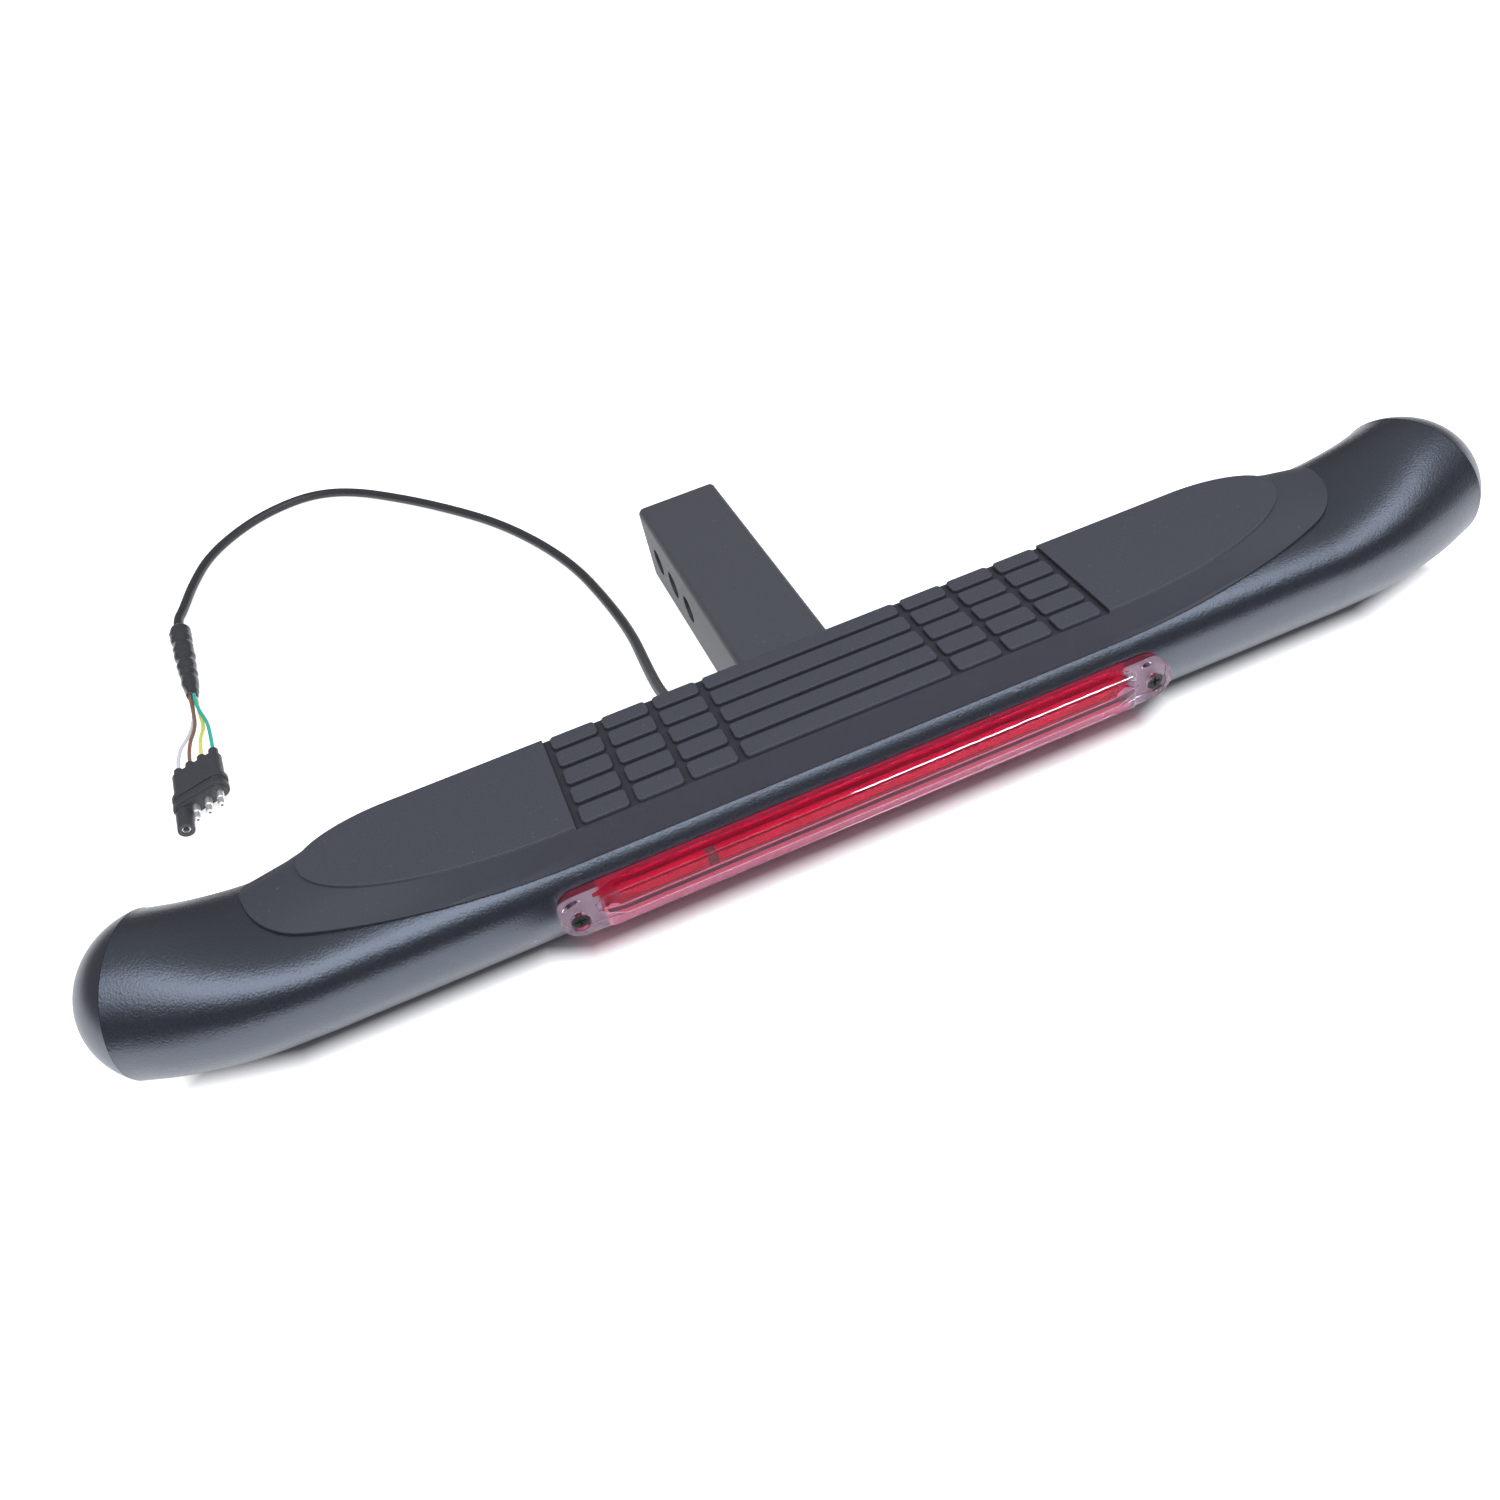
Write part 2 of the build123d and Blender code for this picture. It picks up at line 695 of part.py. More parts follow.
nodes = {
    "step_tube": step_tube,
    "left_end_cap": left_end_cap,
    "right_end_cap": right_end_cap,
    "receiver_shank": receiver_shank,
    "shank_weld": shank_weld,
    "step_pad": step_pad,
    "pad_clips": pad_clips,
    "light_gasket": light_gasket,
    "light_lens": light_lens,
    "light_base": light_base,
    "led_board": led_board,
    "leds": leds,
    "light_guide": light_guide,
    "light_screws": light_screws,
    "light_lead": light_lead,
    "cord_grommet": cord_grommet,
    "cord": cord,
    "tape_wrap": tape_wrap,
    "white_wire": white_wire,
    "brown_wire": brown_wire,
    "yellow_wire": yellow_wire,
    "green_wire": green_wire,
    "plug_body": plug_body,
    "plug_pins": plug_pins,
    "plug_socket": plug_socket,
}
os.makedirs("parts", exist_ok=True)
for name, node in nodes.items():
    node.part.label = name
    export_step(node.part, f"parts/{name}.step")
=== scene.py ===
"""Dresses the hitch receiver step: coats, tread pad, light, taped cord and plug, in a pale studio."""

import logging
from dataclasses import dataclass, field
from enum import Enum
from math import cos, floor, pi, radians, sin

import bmesh
import bpy
from mathutils import Matrix, Vector


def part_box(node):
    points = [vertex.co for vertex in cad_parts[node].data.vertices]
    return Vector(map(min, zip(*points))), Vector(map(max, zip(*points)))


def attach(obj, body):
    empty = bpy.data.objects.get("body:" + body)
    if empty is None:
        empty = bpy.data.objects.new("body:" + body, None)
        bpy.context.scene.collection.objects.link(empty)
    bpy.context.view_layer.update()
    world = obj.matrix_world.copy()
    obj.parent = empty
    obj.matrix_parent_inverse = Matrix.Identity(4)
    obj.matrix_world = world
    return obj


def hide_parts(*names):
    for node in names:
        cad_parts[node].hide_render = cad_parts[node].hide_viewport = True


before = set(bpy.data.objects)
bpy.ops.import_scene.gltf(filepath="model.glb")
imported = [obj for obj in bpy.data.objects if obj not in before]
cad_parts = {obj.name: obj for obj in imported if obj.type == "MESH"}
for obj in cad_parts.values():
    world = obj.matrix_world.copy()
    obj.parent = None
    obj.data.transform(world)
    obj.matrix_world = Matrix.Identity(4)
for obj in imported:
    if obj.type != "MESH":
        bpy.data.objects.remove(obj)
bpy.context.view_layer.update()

log = logging.getLogger("hitch_step")

MM = 0.001
JOIN_DISTANCE = 1e-6
BEVEL_STEPS = 3
# Places of the colour sockets on the mix node: share, first, second, and the result.
MIX_INPUTS = (0, 6, 7)
MIX_OUTPUT = 2
Colour = tuple[float, float, float]
Point = tuple[float, float, float]
Node = bpy.types.Node
Socket = bpy.types.NodeSocket


class Body(Enum):
    """Bodies that pieces ride on."""

    WHOLE = "root"


class Effect(Enum):
    """Shader groups that several finishes share."""

    GRAIN = "sprayed_grain"
    DUST = "settled_dust"


def rgba(colour: Colour) -> tuple[float, float, float, float]:
    """Colour with full opacity."""
    return (*colour, 1.0)


class Tree:
    """Short way to add and link nodes in one node tree."""

    def __init__(self, tree: bpy.types.NodeTree) -> None:
        """Keeps the tree and empties it."""
        self.tree = tree
        self.tree.nodes.clear()

    def add(self, kind: str, **values: object) -> Node:
        """Adds a node and sets its properties.

        Args:
            kind: Blender's type name of the node.
            values: Properties of the node by name.

        Returns:
            The new node.
        """
        node = self.tree.nodes.new(kind)
        for name, value in values.items():
            setattr(node, name, value)
        return node

    def link(self, source: Socket, target: Socket) -> None:
        """Joins an output to an input."""
        self.tree.links.new(source, target)

    def fill(self, node: Node, **inputs: object) -> Node:
        """Sets or links a node's inputs, with underscores in their names for spaces.

        Args:
            node: Node whose inputs are set.
            inputs: A plain value or an output socket for each input.

        Returns:
            The same node.
        """
        for name, value in inputs.items():
            self.put(value, node.inputs[name.replace("_", " ")])
        return node

    def put(self, value: object, socket: Socket) -> None:
        """Sets or links one input.

        Args:
            value: A plain value or an output socket.
            socket: The input.
        """
        if isinstance(value, Socket):
            self.link(value, socket)
        else:
            socket.default_value = value

    def parts(self, kind: str) -> Node:
        """Splits one kind of the surface's coordinates into X, Y and Z.

        Args:
            kind: Name of the coordinates.

        Returns:
            Node with the three parts as its outputs.
        """
        split = self.add("ShaderNodeSeparateXYZ")
        self.link(self.add("ShaderNodeTexCoord").outputs[kind], split.inputs[0])
        return split

    def noise(self, vector: Socket, scale: object, detail: float = 2.0) -> Node:
        """Noise texture on given coordinates.

        Args:
            vector: Coordinates.
            scale: Number or socket with the noise's scale.
            detail: Octaves of the noise.

        Returns:
            The noise node.
        """
        return self.fill(self.add("ShaderNodeTexNoise"), Vector=vector, Scale=scale, Detail=detail)

    def remap(
        self, value: Socket, low: float, high: float, to_low: float = 0.0, to_high: float = 1.0
    ) -> Socket:
        """Stretches a value from one range to another.

        Args:
            value: Socket with the value.
            low: Start of the range that is read.
            high: End of the range that is read.
            to_low: Start of the range that is given.
            to_high: End of the range that is given.

        Returns:
            Socket with the stretched value.
        """
        node = self.add("ShaderNodeMapRange")
        self.fill(node, Value=value)
        node.inputs["From Min"].default_value = low
        node.inputs["From Max"].default_value = high
        node.inputs["To Min"].default_value = to_low
        node.inputs["To Max"].default_value = to_high
        return node.outputs["Result"]

    def blend(self, share: Socket, first: object, second: object) -> Socket:
        """Mixes two colours.

        Args:
            share: Socket with the share of the second colour.
            first: Colour or socket.
            second: Colour or socket.

        Returns:
            Socket with the mixed colour.
        """
        node = self.add("ShaderNodeMix", data_type="RGBA")
        sockets = [node.inputs[place] for place in MIX_INPUTS]
        for socket, value in zip(sockets, (share, first, second)):
            self.put(value if isinstance(value, Socket) else rgba(value), socket)
        return node.outputs[MIX_OUTPUT]

    def maths(self, operation: str, first: object, second: object) -> Socket:
        """One step of arithmetic.

        Args:
            operation: Blender's name of the step.
            first: Number or socket.
            second: Number or socket.

        Returns:
            Socket with the result.
        """
        node = self.add("ShaderNodeMath", operation=operation)
        for socket, value in zip(node.inputs, (first, second)):
            self.put(value, socket)
        return node.outputs[0]

    def size(self, value: Socket) -> Socket:
        """Value without its sign."""
        return self.maths("ABSOLUTE", value, 0.0)


def open_group(effect: Effect, inputs: dict[str, float], outputs: list[str]) -> tuple[Tree, Node, Node]:
    """Starts a shader group with number sockets.

    Args:
        effect: Which shared effect it is.
        inputs: Default of each input by name.
        outputs: Names of the outputs.

    Returns:
        The group's tree, its input node and its output node.
    """
    group = bpy.data.node_groups.new(effect.value, "ShaderNodeTree")
    for name, default in inputs.items():
        socket = group.interface.new_socket(name, in_out="INPUT", socket_type="NodeSocketFloat")
        socket.default_value = default
    for name in outputs:
        group.interface.new_socket(name, in_out="OUTPUT", socket_type="NodeSocketFloat")
    tree = Tree(group)
    return tree, tree.add("NodeGroupInput"), tree.add("NodeGroupOutput")


def build_grain() -> None:
    """Fine grain of a sprayed or moulded surface: its height, and its tone with a slow mottle."""
    tree, given, result = open_group(Effect.GRAIN, {"Scale": 900.0, "Mottle": 0.15}, ["Height", "Tone"])
    fine_detail, slow_scale, slow_detail = 3.0, 9.0, 1.0
    speck_start, speck_end, speck_tone = 0.3, 0.75, 0.8
    place = tree.add("ShaderNodeTexCoord").outputs["Object"]
    fine = tree.noise(place, given.outputs["Scale"], fine_detail)
    slow = tree.noise(place, slow_scale, slow_detail)
    tree.link(fine.outputs["Fac"], result.inputs["Height"])
    speck = tree.remap(fine.outputs["Fac"], speck_start, speck_end, 0.0, speck_tone)
    mottle = tree.maths("MULTIPLY", slow.outputs["Fac"], given.outputs["Mottle"])
    tree.link(tree.maths("ADD", speck, mottle), result.inputs["Tone"])


def build_dust() -> None:
    """Sparse specks of dust on faces turned upwards."""
    tree, given, result = open_group(Effect.DUST, {"Scale": 420.0, "Amount": 0.3}, ["Mask"])
    steepest, level = 0.3, 1.0
    speck_start, speck_full = 0.68, 0.76
    place = tree.add("ShaderNodeTexCoord").outputs["Object"]
    patch = tree.noise(place, given.outputs["Scale"])
    upward = tree.remap(tree.parts("Normal").outputs["Z"], steepest, level)
    spots = tree.remap(patch.outputs["Fac"], speck_start, speck_full)
    lying = tree.maths("MULTIPLY", spots, upward)
    tree.link(tree.maths("MULTIPLY", lying, given.outputs["Amount"]), result.inputs["Mask"])


DUST_TONE = (0.35, 0.34, 0.33)


@dataclass(frozen=True)
class Finish:
    """Plain opaque finish with a fine grain, a change of tone and a little dust.

    Attributes:
        name: Name of the material.
        dark: Darker tone.
        light: Lighter tone.
        roughness: Roughness of the darker tone.
        spread: How much rougher the lighter tone is.
        scale: Scale of the grain, per metre.
        bump: Strength of the grain's bump.
        depth: Height of the grain in metres.
        dust: Share of dust on faces that look up.
        metallic: Whether it is bare metal, from 0 to 1.
        reflect: Level of the mirror part, 0.5 for plastic and paint.
        sheen: Tint of the mirror part.
        ior: How strongly it bends light, which also sets how much it mirrors.
    """

    name: str
    dark: Colour
    light: Colour
    roughness: float
    spread: float = 0.1
    scale: float = 900.0
    bump: float = 0.2
    depth: float = 0.0002
    dust: float = 0.0
    metallic: float = 0.0
    reflect: float = 0.5
    sheen: Colour = (1.0, 1.0, 1.0)
    ior: float = 1.5

    def base(self, tree: Tree, tone: Socket) -> Socket:
        """Colour of the surface from its tone.

        Args:
            tree: The material's tree.
            tone: Socket with the grain's tone.

        Returns:
            Socket with the colour.
        """
        return tree.blend(tone, self.dark, self.light)

    def material(self) -> bpy.types.Material:
        """Builds the material, once.

        Returns:
            The material.
        """
        known = bpy.data.materials.get(self.name)
        if known is not None:
            return known
        material = bpy.data.materials.new(self.name)
        material.use_nodes = True
        tree = Tree(material.node_tree)
        grain = tree.add("ShaderNodeGroup", node_tree=bpy.data.node_groups[Effect.GRAIN.value])
        tree.fill(grain, Scale=self.scale)
        colour = self.base(tree, grain.outputs["Tone"])
        if self.dust > 0:
            dust = tree.add("ShaderNodeGroup", node_tree=bpy.data.node_groups[Effect.DUST.value])
            tree.fill(dust, Amount=self.dust)
            colour = tree.blend(dust.outputs["Mask"], colour, DUST_TONE)
        rough = tree.remap(grain.outputs["Tone"], 0.0, 1.0, self.roughness, self.roughness + self.spread)
        bump = tree.add("ShaderNodeBump")
        tree.fill(bump, Strength=self.bump, Distance=self.depth, Height=grain.outputs["Height"])
        shader = tree.add("ShaderNodeBsdfPrincipled")
        tree.fill(shader, Base_Color=colour, Roughness=rough, Metallic=self.metallic)
        tree.fill(shader, Normal=bump.outputs["Normal"], Specular_IOR_Level=self.reflect)
        tree.fill(shader, Specular_Tint=rgba(self.sheen), IOR=self.ior)
        self.extra(tree, shader)
        output = tree.add("ShaderNodeOutputMaterial")
        tree.link(shader.outputs[0], output.inputs["Surface"])
        return material

    def extra(self, tree: Tree, shader: Node) -> None:
        """Place for what a special finish adds to the shader."""


@dataclass(frozen=True)
class ClearFinish(Finish):
    """Clear tinted plastic that light passes through.

    Attributes:
        clear: Share of the light that passes, the rest being milky.
    """

    clear: float = 1.0

    def extra(self, tree: Tree, shader: Node) -> None:
        """Lets light through."""
        tree.fill(shader, Transmission_Weight=self.clear)


@dataclass(frozen=True)
class DownShadedFinish(Finish):
    """Plastic with painted shade, a darker and speckled tone, on the facets that look down.

    Attributes:
        shade: Tone of the painted shade on the facets that look down.
        turn: Upward part of a facet's direction where that painted shade starts, and where it is full.
    """

    shade: Colour = (0.2, 0.004, 0.012)
    turn: tuple[float, float] = (-0.05, -0.2)

    def base(self, tree: Tree, tone: Socket) -> Socket:
        """Plain tones where the facets look up, painted shade, darker and speckled, where they look down.

        Args:
            tree: The material's tree.
            tone: Socket with the grain's tone.

        Returns:
            Socket with the colour.
        """
        parts = tree.parts("Normal")
        # Painted shade: facets that look down get a darker, speckled tone.
        under = tree.remap(parts.outputs["Z"], *self.turn)
        speckled = tree.blend(tone, self.shade, self.dark)
        return tree.blend(under, tree.blend(tone, self.dark, self.light), speckled)


@dataclass(frozen=True)
class BackedFinish(Finish):
    """Pale foam with a red film on its upper part, a painted pink glow under it, painted shade along the
    lugs' upper edge, and pale only at the lens's lugs.

    Attributes:
        film: Colour of the film.
        pink: Colour of the foam under the film, a painted pink glow of light that comes through the lens.
        rim: Colour of the painted shade along the upper edge of the lugs.
        half: Half of the film's length in metres.
        low: Height of the film's lower edge in metres.
        high: Height of the upper edge's lower side in metres.
        fade: Width in metres of the soft edge at the film's ends, below it and at the lugs' upper edge.
    """

    film: Colour = (0.32, 0.0015, 0.03)
    pink: Colour = (0.74, 0.36, 0.47)
    rim: Colour = (0.12, 0.002, 0.018)
    half: float = 0.131
    low: float = 0.0335
    high: float = 0.0432
    fade: tuple[float, float, float] = (0.002, 0.003, 0.0005)

    def base(self, tree: Tree, tone: Socket) -> Socket:
        """Foam colour with the film over it, a painted pink glow under the film and painted shade along the
        lugs' upper edge.

        Args:
            tree: The material's tree.
            tone: Socket with the grain's tone.

        Returns:
            Socket with the colour.
        """
        parts = tree.parts("Object")
        along = tree.size(parts.outputs["X"])
        ends, under, upper = self.fade
        inside = tree.remap(along, self.half + ends, self.half)
        above = tree.remap(parts.outputs["Z"], self.low - under, self.low)
        edge = tree.remap(parts.outputs["Z"], self.high - upper, self.high)
        # Painted pink glow on the foam under the film.
        middle = tree.blend(above, self.pink, self.film)
        # Painted shade along the lugs' upper edge.
        lug = tree.blend(edge, tree.blend(tone, self.dark, self.light), self.rim)
        return tree.blend(inside, lug, middle)


@dataclass(frozen=True)
class TreadFinish(Finish):
    """Moulded plastic with painted shade: darker on the skirt below the plateau and darker down in the
    grooves of the tread.

    Attributes:
        groove_shade: Colour of the painted shade in the grooves.
        skirt: Colour of the painted shade on the skirt below the plateau.
        lip: Height of the plateau's lip in metres.
        lip_start: Share of that height, from the top, where the skirt's painted shade starts.
        skirt_shade_share: How much of the skirt's painted shade shows below the lip.
        top: Height of the tread's top in metres.
        groove_depth: Depths in metres at which the grooves' painted shade starts and is full.
        middle: Place of the tread's middle along the step's depth.
        half: Half of the tread's length and half of its width.
        fade: Width in metres of the soft edge round the tread.
    """

    groove_shade: Colour = (0.028, 0.029, 0.039)
    skirt: Colour = (0.047, 0.049, 0.064)
    lip: float = 0.0018
    lip_start: float = 0.7
    skirt_shade_share: float = 0.85
    top: float = 0.0736
    groove_depth: tuple[float, float] = (0.0005, 0.0016)
    middle: float = -0.0947
    half: tuple[float, float] = (0.1307, 0.0319)
    fade: float = 0.0003

    def base(self, tree: Tree, tone: Socket) -> Socket:
        """Plateau's colour with the painted shade of the skirt and of the grooves under it.

        Args:
            tree: The material's tree.
            tone: Socket with the grain's tone.

        Returns:
            Socket with the colour.
        """
        parts = tree.parts("Object")
        along = tree.size(parts.outputs["X"])
        across = tree.size(tree.maths("SUBTRACT", parts.outputs["Y"], self.middle))
        length, width = self.half
        start, full = self.groove_depth
        inside = tree.remap(along, length + self.fade, length)
        between = tree.remap(across, width + self.fade, width)
        below = tree.remap(parts.outputs["Z"], self.top - start, self.top - full)
        # Painted shade down in the grooves of the tread.
        groove_shade_mask = tree.maths("MULTIPLY", tree.maths("MULTIPLY", inside, between), below)
        plateau = tree.blend(tone, self.dark, self.light)
        upper, lower = self.top - self.lip * self.lip_start, self.top - self.lip
        # Painted shade on the skirt below the plateau's lip.
        down = tree.remap(parts.outputs["Z"], upper, lower, 0.0, self.skirt_shade_share)
        return tree.blend(groove_shade_mask, tree.blend(down, plateau, self.skirt), self.groove_shade)


BLUE_SHEEN = (0.74, 0.82, 1.0)
TUBE_COAT = Finish(
    "tube_coat_finish", (0.006, 0.0063, 0.0085), (0.011, 0.0115, 0.0155), 0.26, 0.1, 1000.0, 0.8, 0.0002,
    reflect=1.0, sheen=BLUE_SHEEN, ior=1.66,
)
SHANK_COAT = Finish(
    "shank_coat_finish", (0.057, 0.058, 0.07), (0.093, 0.095, 0.111), 0.46, 0.1, 1400.0, 0.2, dust=0.1
)
CAP_PLASTIC = Finish(
    "cap_plastic_finish", (0.008, 0.008, 0.01), (0.013, 0.013, 0.016), 0.3, 0.08, 1400.0, 0.15,
    reflect=1.0, sheen=BLUE_SHEEN, ior=1.7,
)
# Pad with painted shade on its skirt and in its grooves.
PAD_PLASTIC = TreadFinish(
    "pad_plastic_finish", (0.044, 0.046, 0.062), (0.079, 0.082, 0.102), 0.62, 0.12, 1700.0, 0.5, dust=0.12
)
CLIP_PLASTIC = Finish("clip_plastic_finish", (0.02, 0.02, 0.02), (0.03, 0.03, 0.03), 0.5)
# Foam behind the lens, with a painted pink glow and painted shade on it.
GASKET_FOAM = BackedFinish(
    "gasket_foam_finish", (0.29, 0.27, 0.31), (0.35, 0.33, 0.37), 0.85, 0.1, 1800.0, 0.4
)
LENS_PLASTIC = ClearFinish(
    "lens_plastic_finish", (0.95, 0.7, 0.79), (0.97, 0.76, 0.84), 0.02, 0.02, 300.0, 0.002, 0.0001,
    ior=1.33,
)
# Painted shade on the facets that look down: there the base takes only its darker tone.
BASE_PLASTIC = DownShadedFinish(
    "base_plastic_finish", (0.26, 0.0008, 0.022), (0.31, 0.0015, 0.028), 0.4, reflect=0.1,
    shade=(0.26, 0.0008, 0.022),
)
BOARD_LAMINATE = Finish("board_laminate_finish", (0.05, 0.012, 0.012), (0.09, 0.02, 0.02), 0.5)
LAMP_RESIN = Finish("lamp_resin_finish", (0.7, 0.2, 0.15), (0.85, 0.35, 0.3), 0.25)
# Painted shade, darker and speckled, on the guide's facets that look down.
GUIDE_PLASTIC = DownShadedFinish(
    "guide_plastic_finish", (0.29, 0.0006, 0.02), (0.36, 0.0015, 0.03), 0.3, 0.1, 700.0, 0.3,
    reflect=0.05, shade=(0.08, 0.001, 0.009),
)
SCREW_STEEL = Finish("screw_steel_finish", (0.05, 0.05, 0.053), (0.1, 0.1, 0.105), 0.35, metallic=0.6)
CORD_JACKET = Finish(
    "cord_jacket_finish", (0.028, 0.028, 0.031), (0.044, 0.044, 0.048), 0.4, 0.1, 1200.0, 0.15
)
GROMMET_RUBBER = Finish("grommet_rubber_finish", (0.02, 0.02, 0.02), (0.03, 0.03, 0.03), 0.6)
SPLICE_TAPE = Finish(
    "splice_tape_finish", (0.038, 0.038, 0.044), (0.064, 0.064, 0.072), 0.26, 0.15, 700.0, 0.4
)
WHITE_INSULATION = Finish("white_insulation_finish", (0.82, 0.82, 0.86), (0.9, 0.9, 0.93), 0.4)
BROWN_INSULATION = Finish("brown_insulation_finish", (0.25, 0.115, 0.085), (0.36, 0.18, 0.135), 0.4)
YELLOW_INSULATION = Finish("yellow_insulation_finish", (0.93, 0.88, 0.11), (0.96, 0.92, 0.24), 0.4)
GREEN_INSULATION = Finish("green_insulation_finish", (0.02, 0.5, 0.38), (0.07, 0.65, 0.52), 0.4)
PLUG_RUBBER = Finish(
    "plug_rubber_finish", (0.044, 0.044, 0.051), (0.072, 0.072, 0.082), 0.42, 0.12, 1000.0, 0.25
)
CONTACT_METAL = Finish(
    "contact_metal_finish", (0.9, 0.9, 0.9), (0.96, 0.96, 0.96), 0.42, 0.1, 800.0, 0.1, metallic=1.0
)


def piece(name: str, data: bpy.types.ID) -> bpy.types.Object:
    """Puts a mesh, a curve, a lamp or a camera in the scene as an object at the origin.

    Args:
        name: Name of the object.
        data: What it shows.

    Returns:
        The object.
    """
    built = bpy.data.objects.new(name, data)
    bpy.context.scene.collection.objects.link(built)
    return built


def dress(built: bpy.types.Object, finish: Finish, slot: str, *nodes: str) -> bpy.types.Object:
    """Gives a finished piece its material and its body, and hides the nodes it stands for.

    Args:
        built: The piece.
        finish: Its finish.
        slot: Slot of the record that it takes; not used.
        nodes: Nodes that it replaces.

    Returns:
        The same piece.
    """
    built.data.materials.clear()
    built.data.materials.append(finish.material())
    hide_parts(*nodes)
    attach(built, Body.WHOLE.value)
    log.info("%s stands for %s", built.name, ", ".join(nodes))
    return built


def coat_node(node: str, finish: Finish) -> None:
    """Gives a node that stays as it is its finish.

    Args:
        node: Name of the node.
        finish: Its finish.
    """
    shown = bpy.data.objects[node]
    shown.data.materials.clear()
    shown.data.materials.append(finish.material())
    log.info("%s keeps its solid", node)


def merged_copy(node: str) -> bmesh.types.BMesh:
    """Editable copy of a node's mesh with its doubled corners joined.

    Args:
        node: Name of the node.

    Returns:
        The copy, in the shared frame.
    """
    source = bpy.data.objects[node]
    copy = bmesh.new()
    copy.from_mesh(source.data)
    copy.transform(source.matrix_world)
    bmesh.ops.remove_doubles(copy, verts=copy.verts, dist=JOIN_DISTANCE)
    return copy


def evaluated_mesh(built: bpy.types.Object, name: str) -> bpy.types.Mesh:
    """Plain mesh of a piece with its modifiers worked in, after which they are removed.

    Args:
        built: The piece.
        name: Name of the plain mesh.

    Returns:
        The plain mesh.
    """
    bpy.context.view_layer.update()
    plain = bpy.data.meshes.new_from_object(built.evaluated_get(bpy.context.evaluated_depsgraph_get()))
    plain.name = name
    built.modifiers.clear()
    return plain


def finished(
    name: str, shape: bmesh.types.BMesh, bevel: float = 0.0, sharp: float = 32.0
) -> bpy.types.Object:
    """Turns an editable copy into a smooth piece with crisp or rounded edges.

    Args:
        name: Name of the piece.
        shape: The editable copy, which is used up.
        bevel: Width of the rounded edges in metres, 0 for crisp ones.
        sharp: Angle in degrees from which an edge counts as one.

    Returns:
        The piece.
    """
    bmesh.ops.recalc_face_normals(shape, faces=shape.faces)
    data = bpy.data.meshes.new(name)
    shape.to_mesh(data)
    shape.free()
    for kept in ("custom_normal", "sharp_edge", "sharp_face"):
        extra = data.attributes.get(kept)
        if extra is not None:
            data.attributes.remove(extra)
    data.shade_smooth()
    built = piece(name, data)
    if bevel > 0:
        rounding = built.modifiers.new("rounding", "BEVEL")
        rounding.width = bevel
        rounding.segments = BEVEL_STEPS
        rounding.limit_method = "ANGLE"
        rounding.angle_limit = radians(sharp)
        rounding.use_clamp_overlap = False
        built.data = evaluated_mesh(built, name)
    built.data.set_sharp_from_angle(angle=radians(sharp))
    weights = built.modifiers.new("weights", "WEIGHTED_NORMAL")
    weights.keep_sharp = True
    built.data = evaluated_mesh(built, name)
    return built


@dataclass
class TreadPad:
    """Moulded pad whose skirt ends in a rim that stands off the tube.

    Attributes:
        rim: Height of the rim in metres.
        fold: Product of two faces' normals below which they lie back to back, as at the skirt's thin edge.
    """

    rim: float = 0.0013
    fold: float = -0.55

    def build(self) -> bpy.types.Object:
        """Builds and dresses the pad.

        Returns:
            The pad's object.
        """
        shape = merged_copy("step_pad")
        self.raise_rim(shape)
        return dress(finished("tread_pad", shape), PAD_PLASTIC, "pad_plastic", "step_pad")

    def raise_rim(self, shape: bmesh.types.BMesh) -> None:
        """Lifts the skirt's thin edge off the tube and closes the step under it.

        Args:
            shape: The pad's editable copy.
        """
        shape.normal_update()
        thin = [e for e in shape.edges if len(e.link_faces) == 2 and self.folded(e)]
        outward = {}
        for edge in thin:
            under = min(edge.link_faces, key=lambda f: f.normal.z)
            for corner in edge.verts:
                outward[corner] = outward.get(corner, Vector()) - under.normal
        lifted = {v: shape.verts.new(v.co + n.normalized() * self.rim) for v, n in outward.items()}
        walls = [(a, b, lifted[b], lifted[a]) for a, b in (edge.verts for edge in thin)]
        turned = [f for v in lifted for f in v.link_faces if f.normal.dot(outward[v]) > 0]
        upper = list(dict.fromkeys(turned))
        for face in upper:
            shape.faces.new([lifted.get(v, v) for v in face.verts])
        bmesh.ops.delete(shape, geom=upper, context="FACES_ONLY")
        for corners in walls:
            shape.faces.new(corners)
        log.info("rim of %d edges raised round the skirt", len(thin))

    def folded(self, edge: bmesh.types.BMEdge) -> bool:
        """Whether the two faces of an edge lie nearly back to back."""
        first, second = edge.link_faces
        return first.normal.dot(second.normal) < self.fold


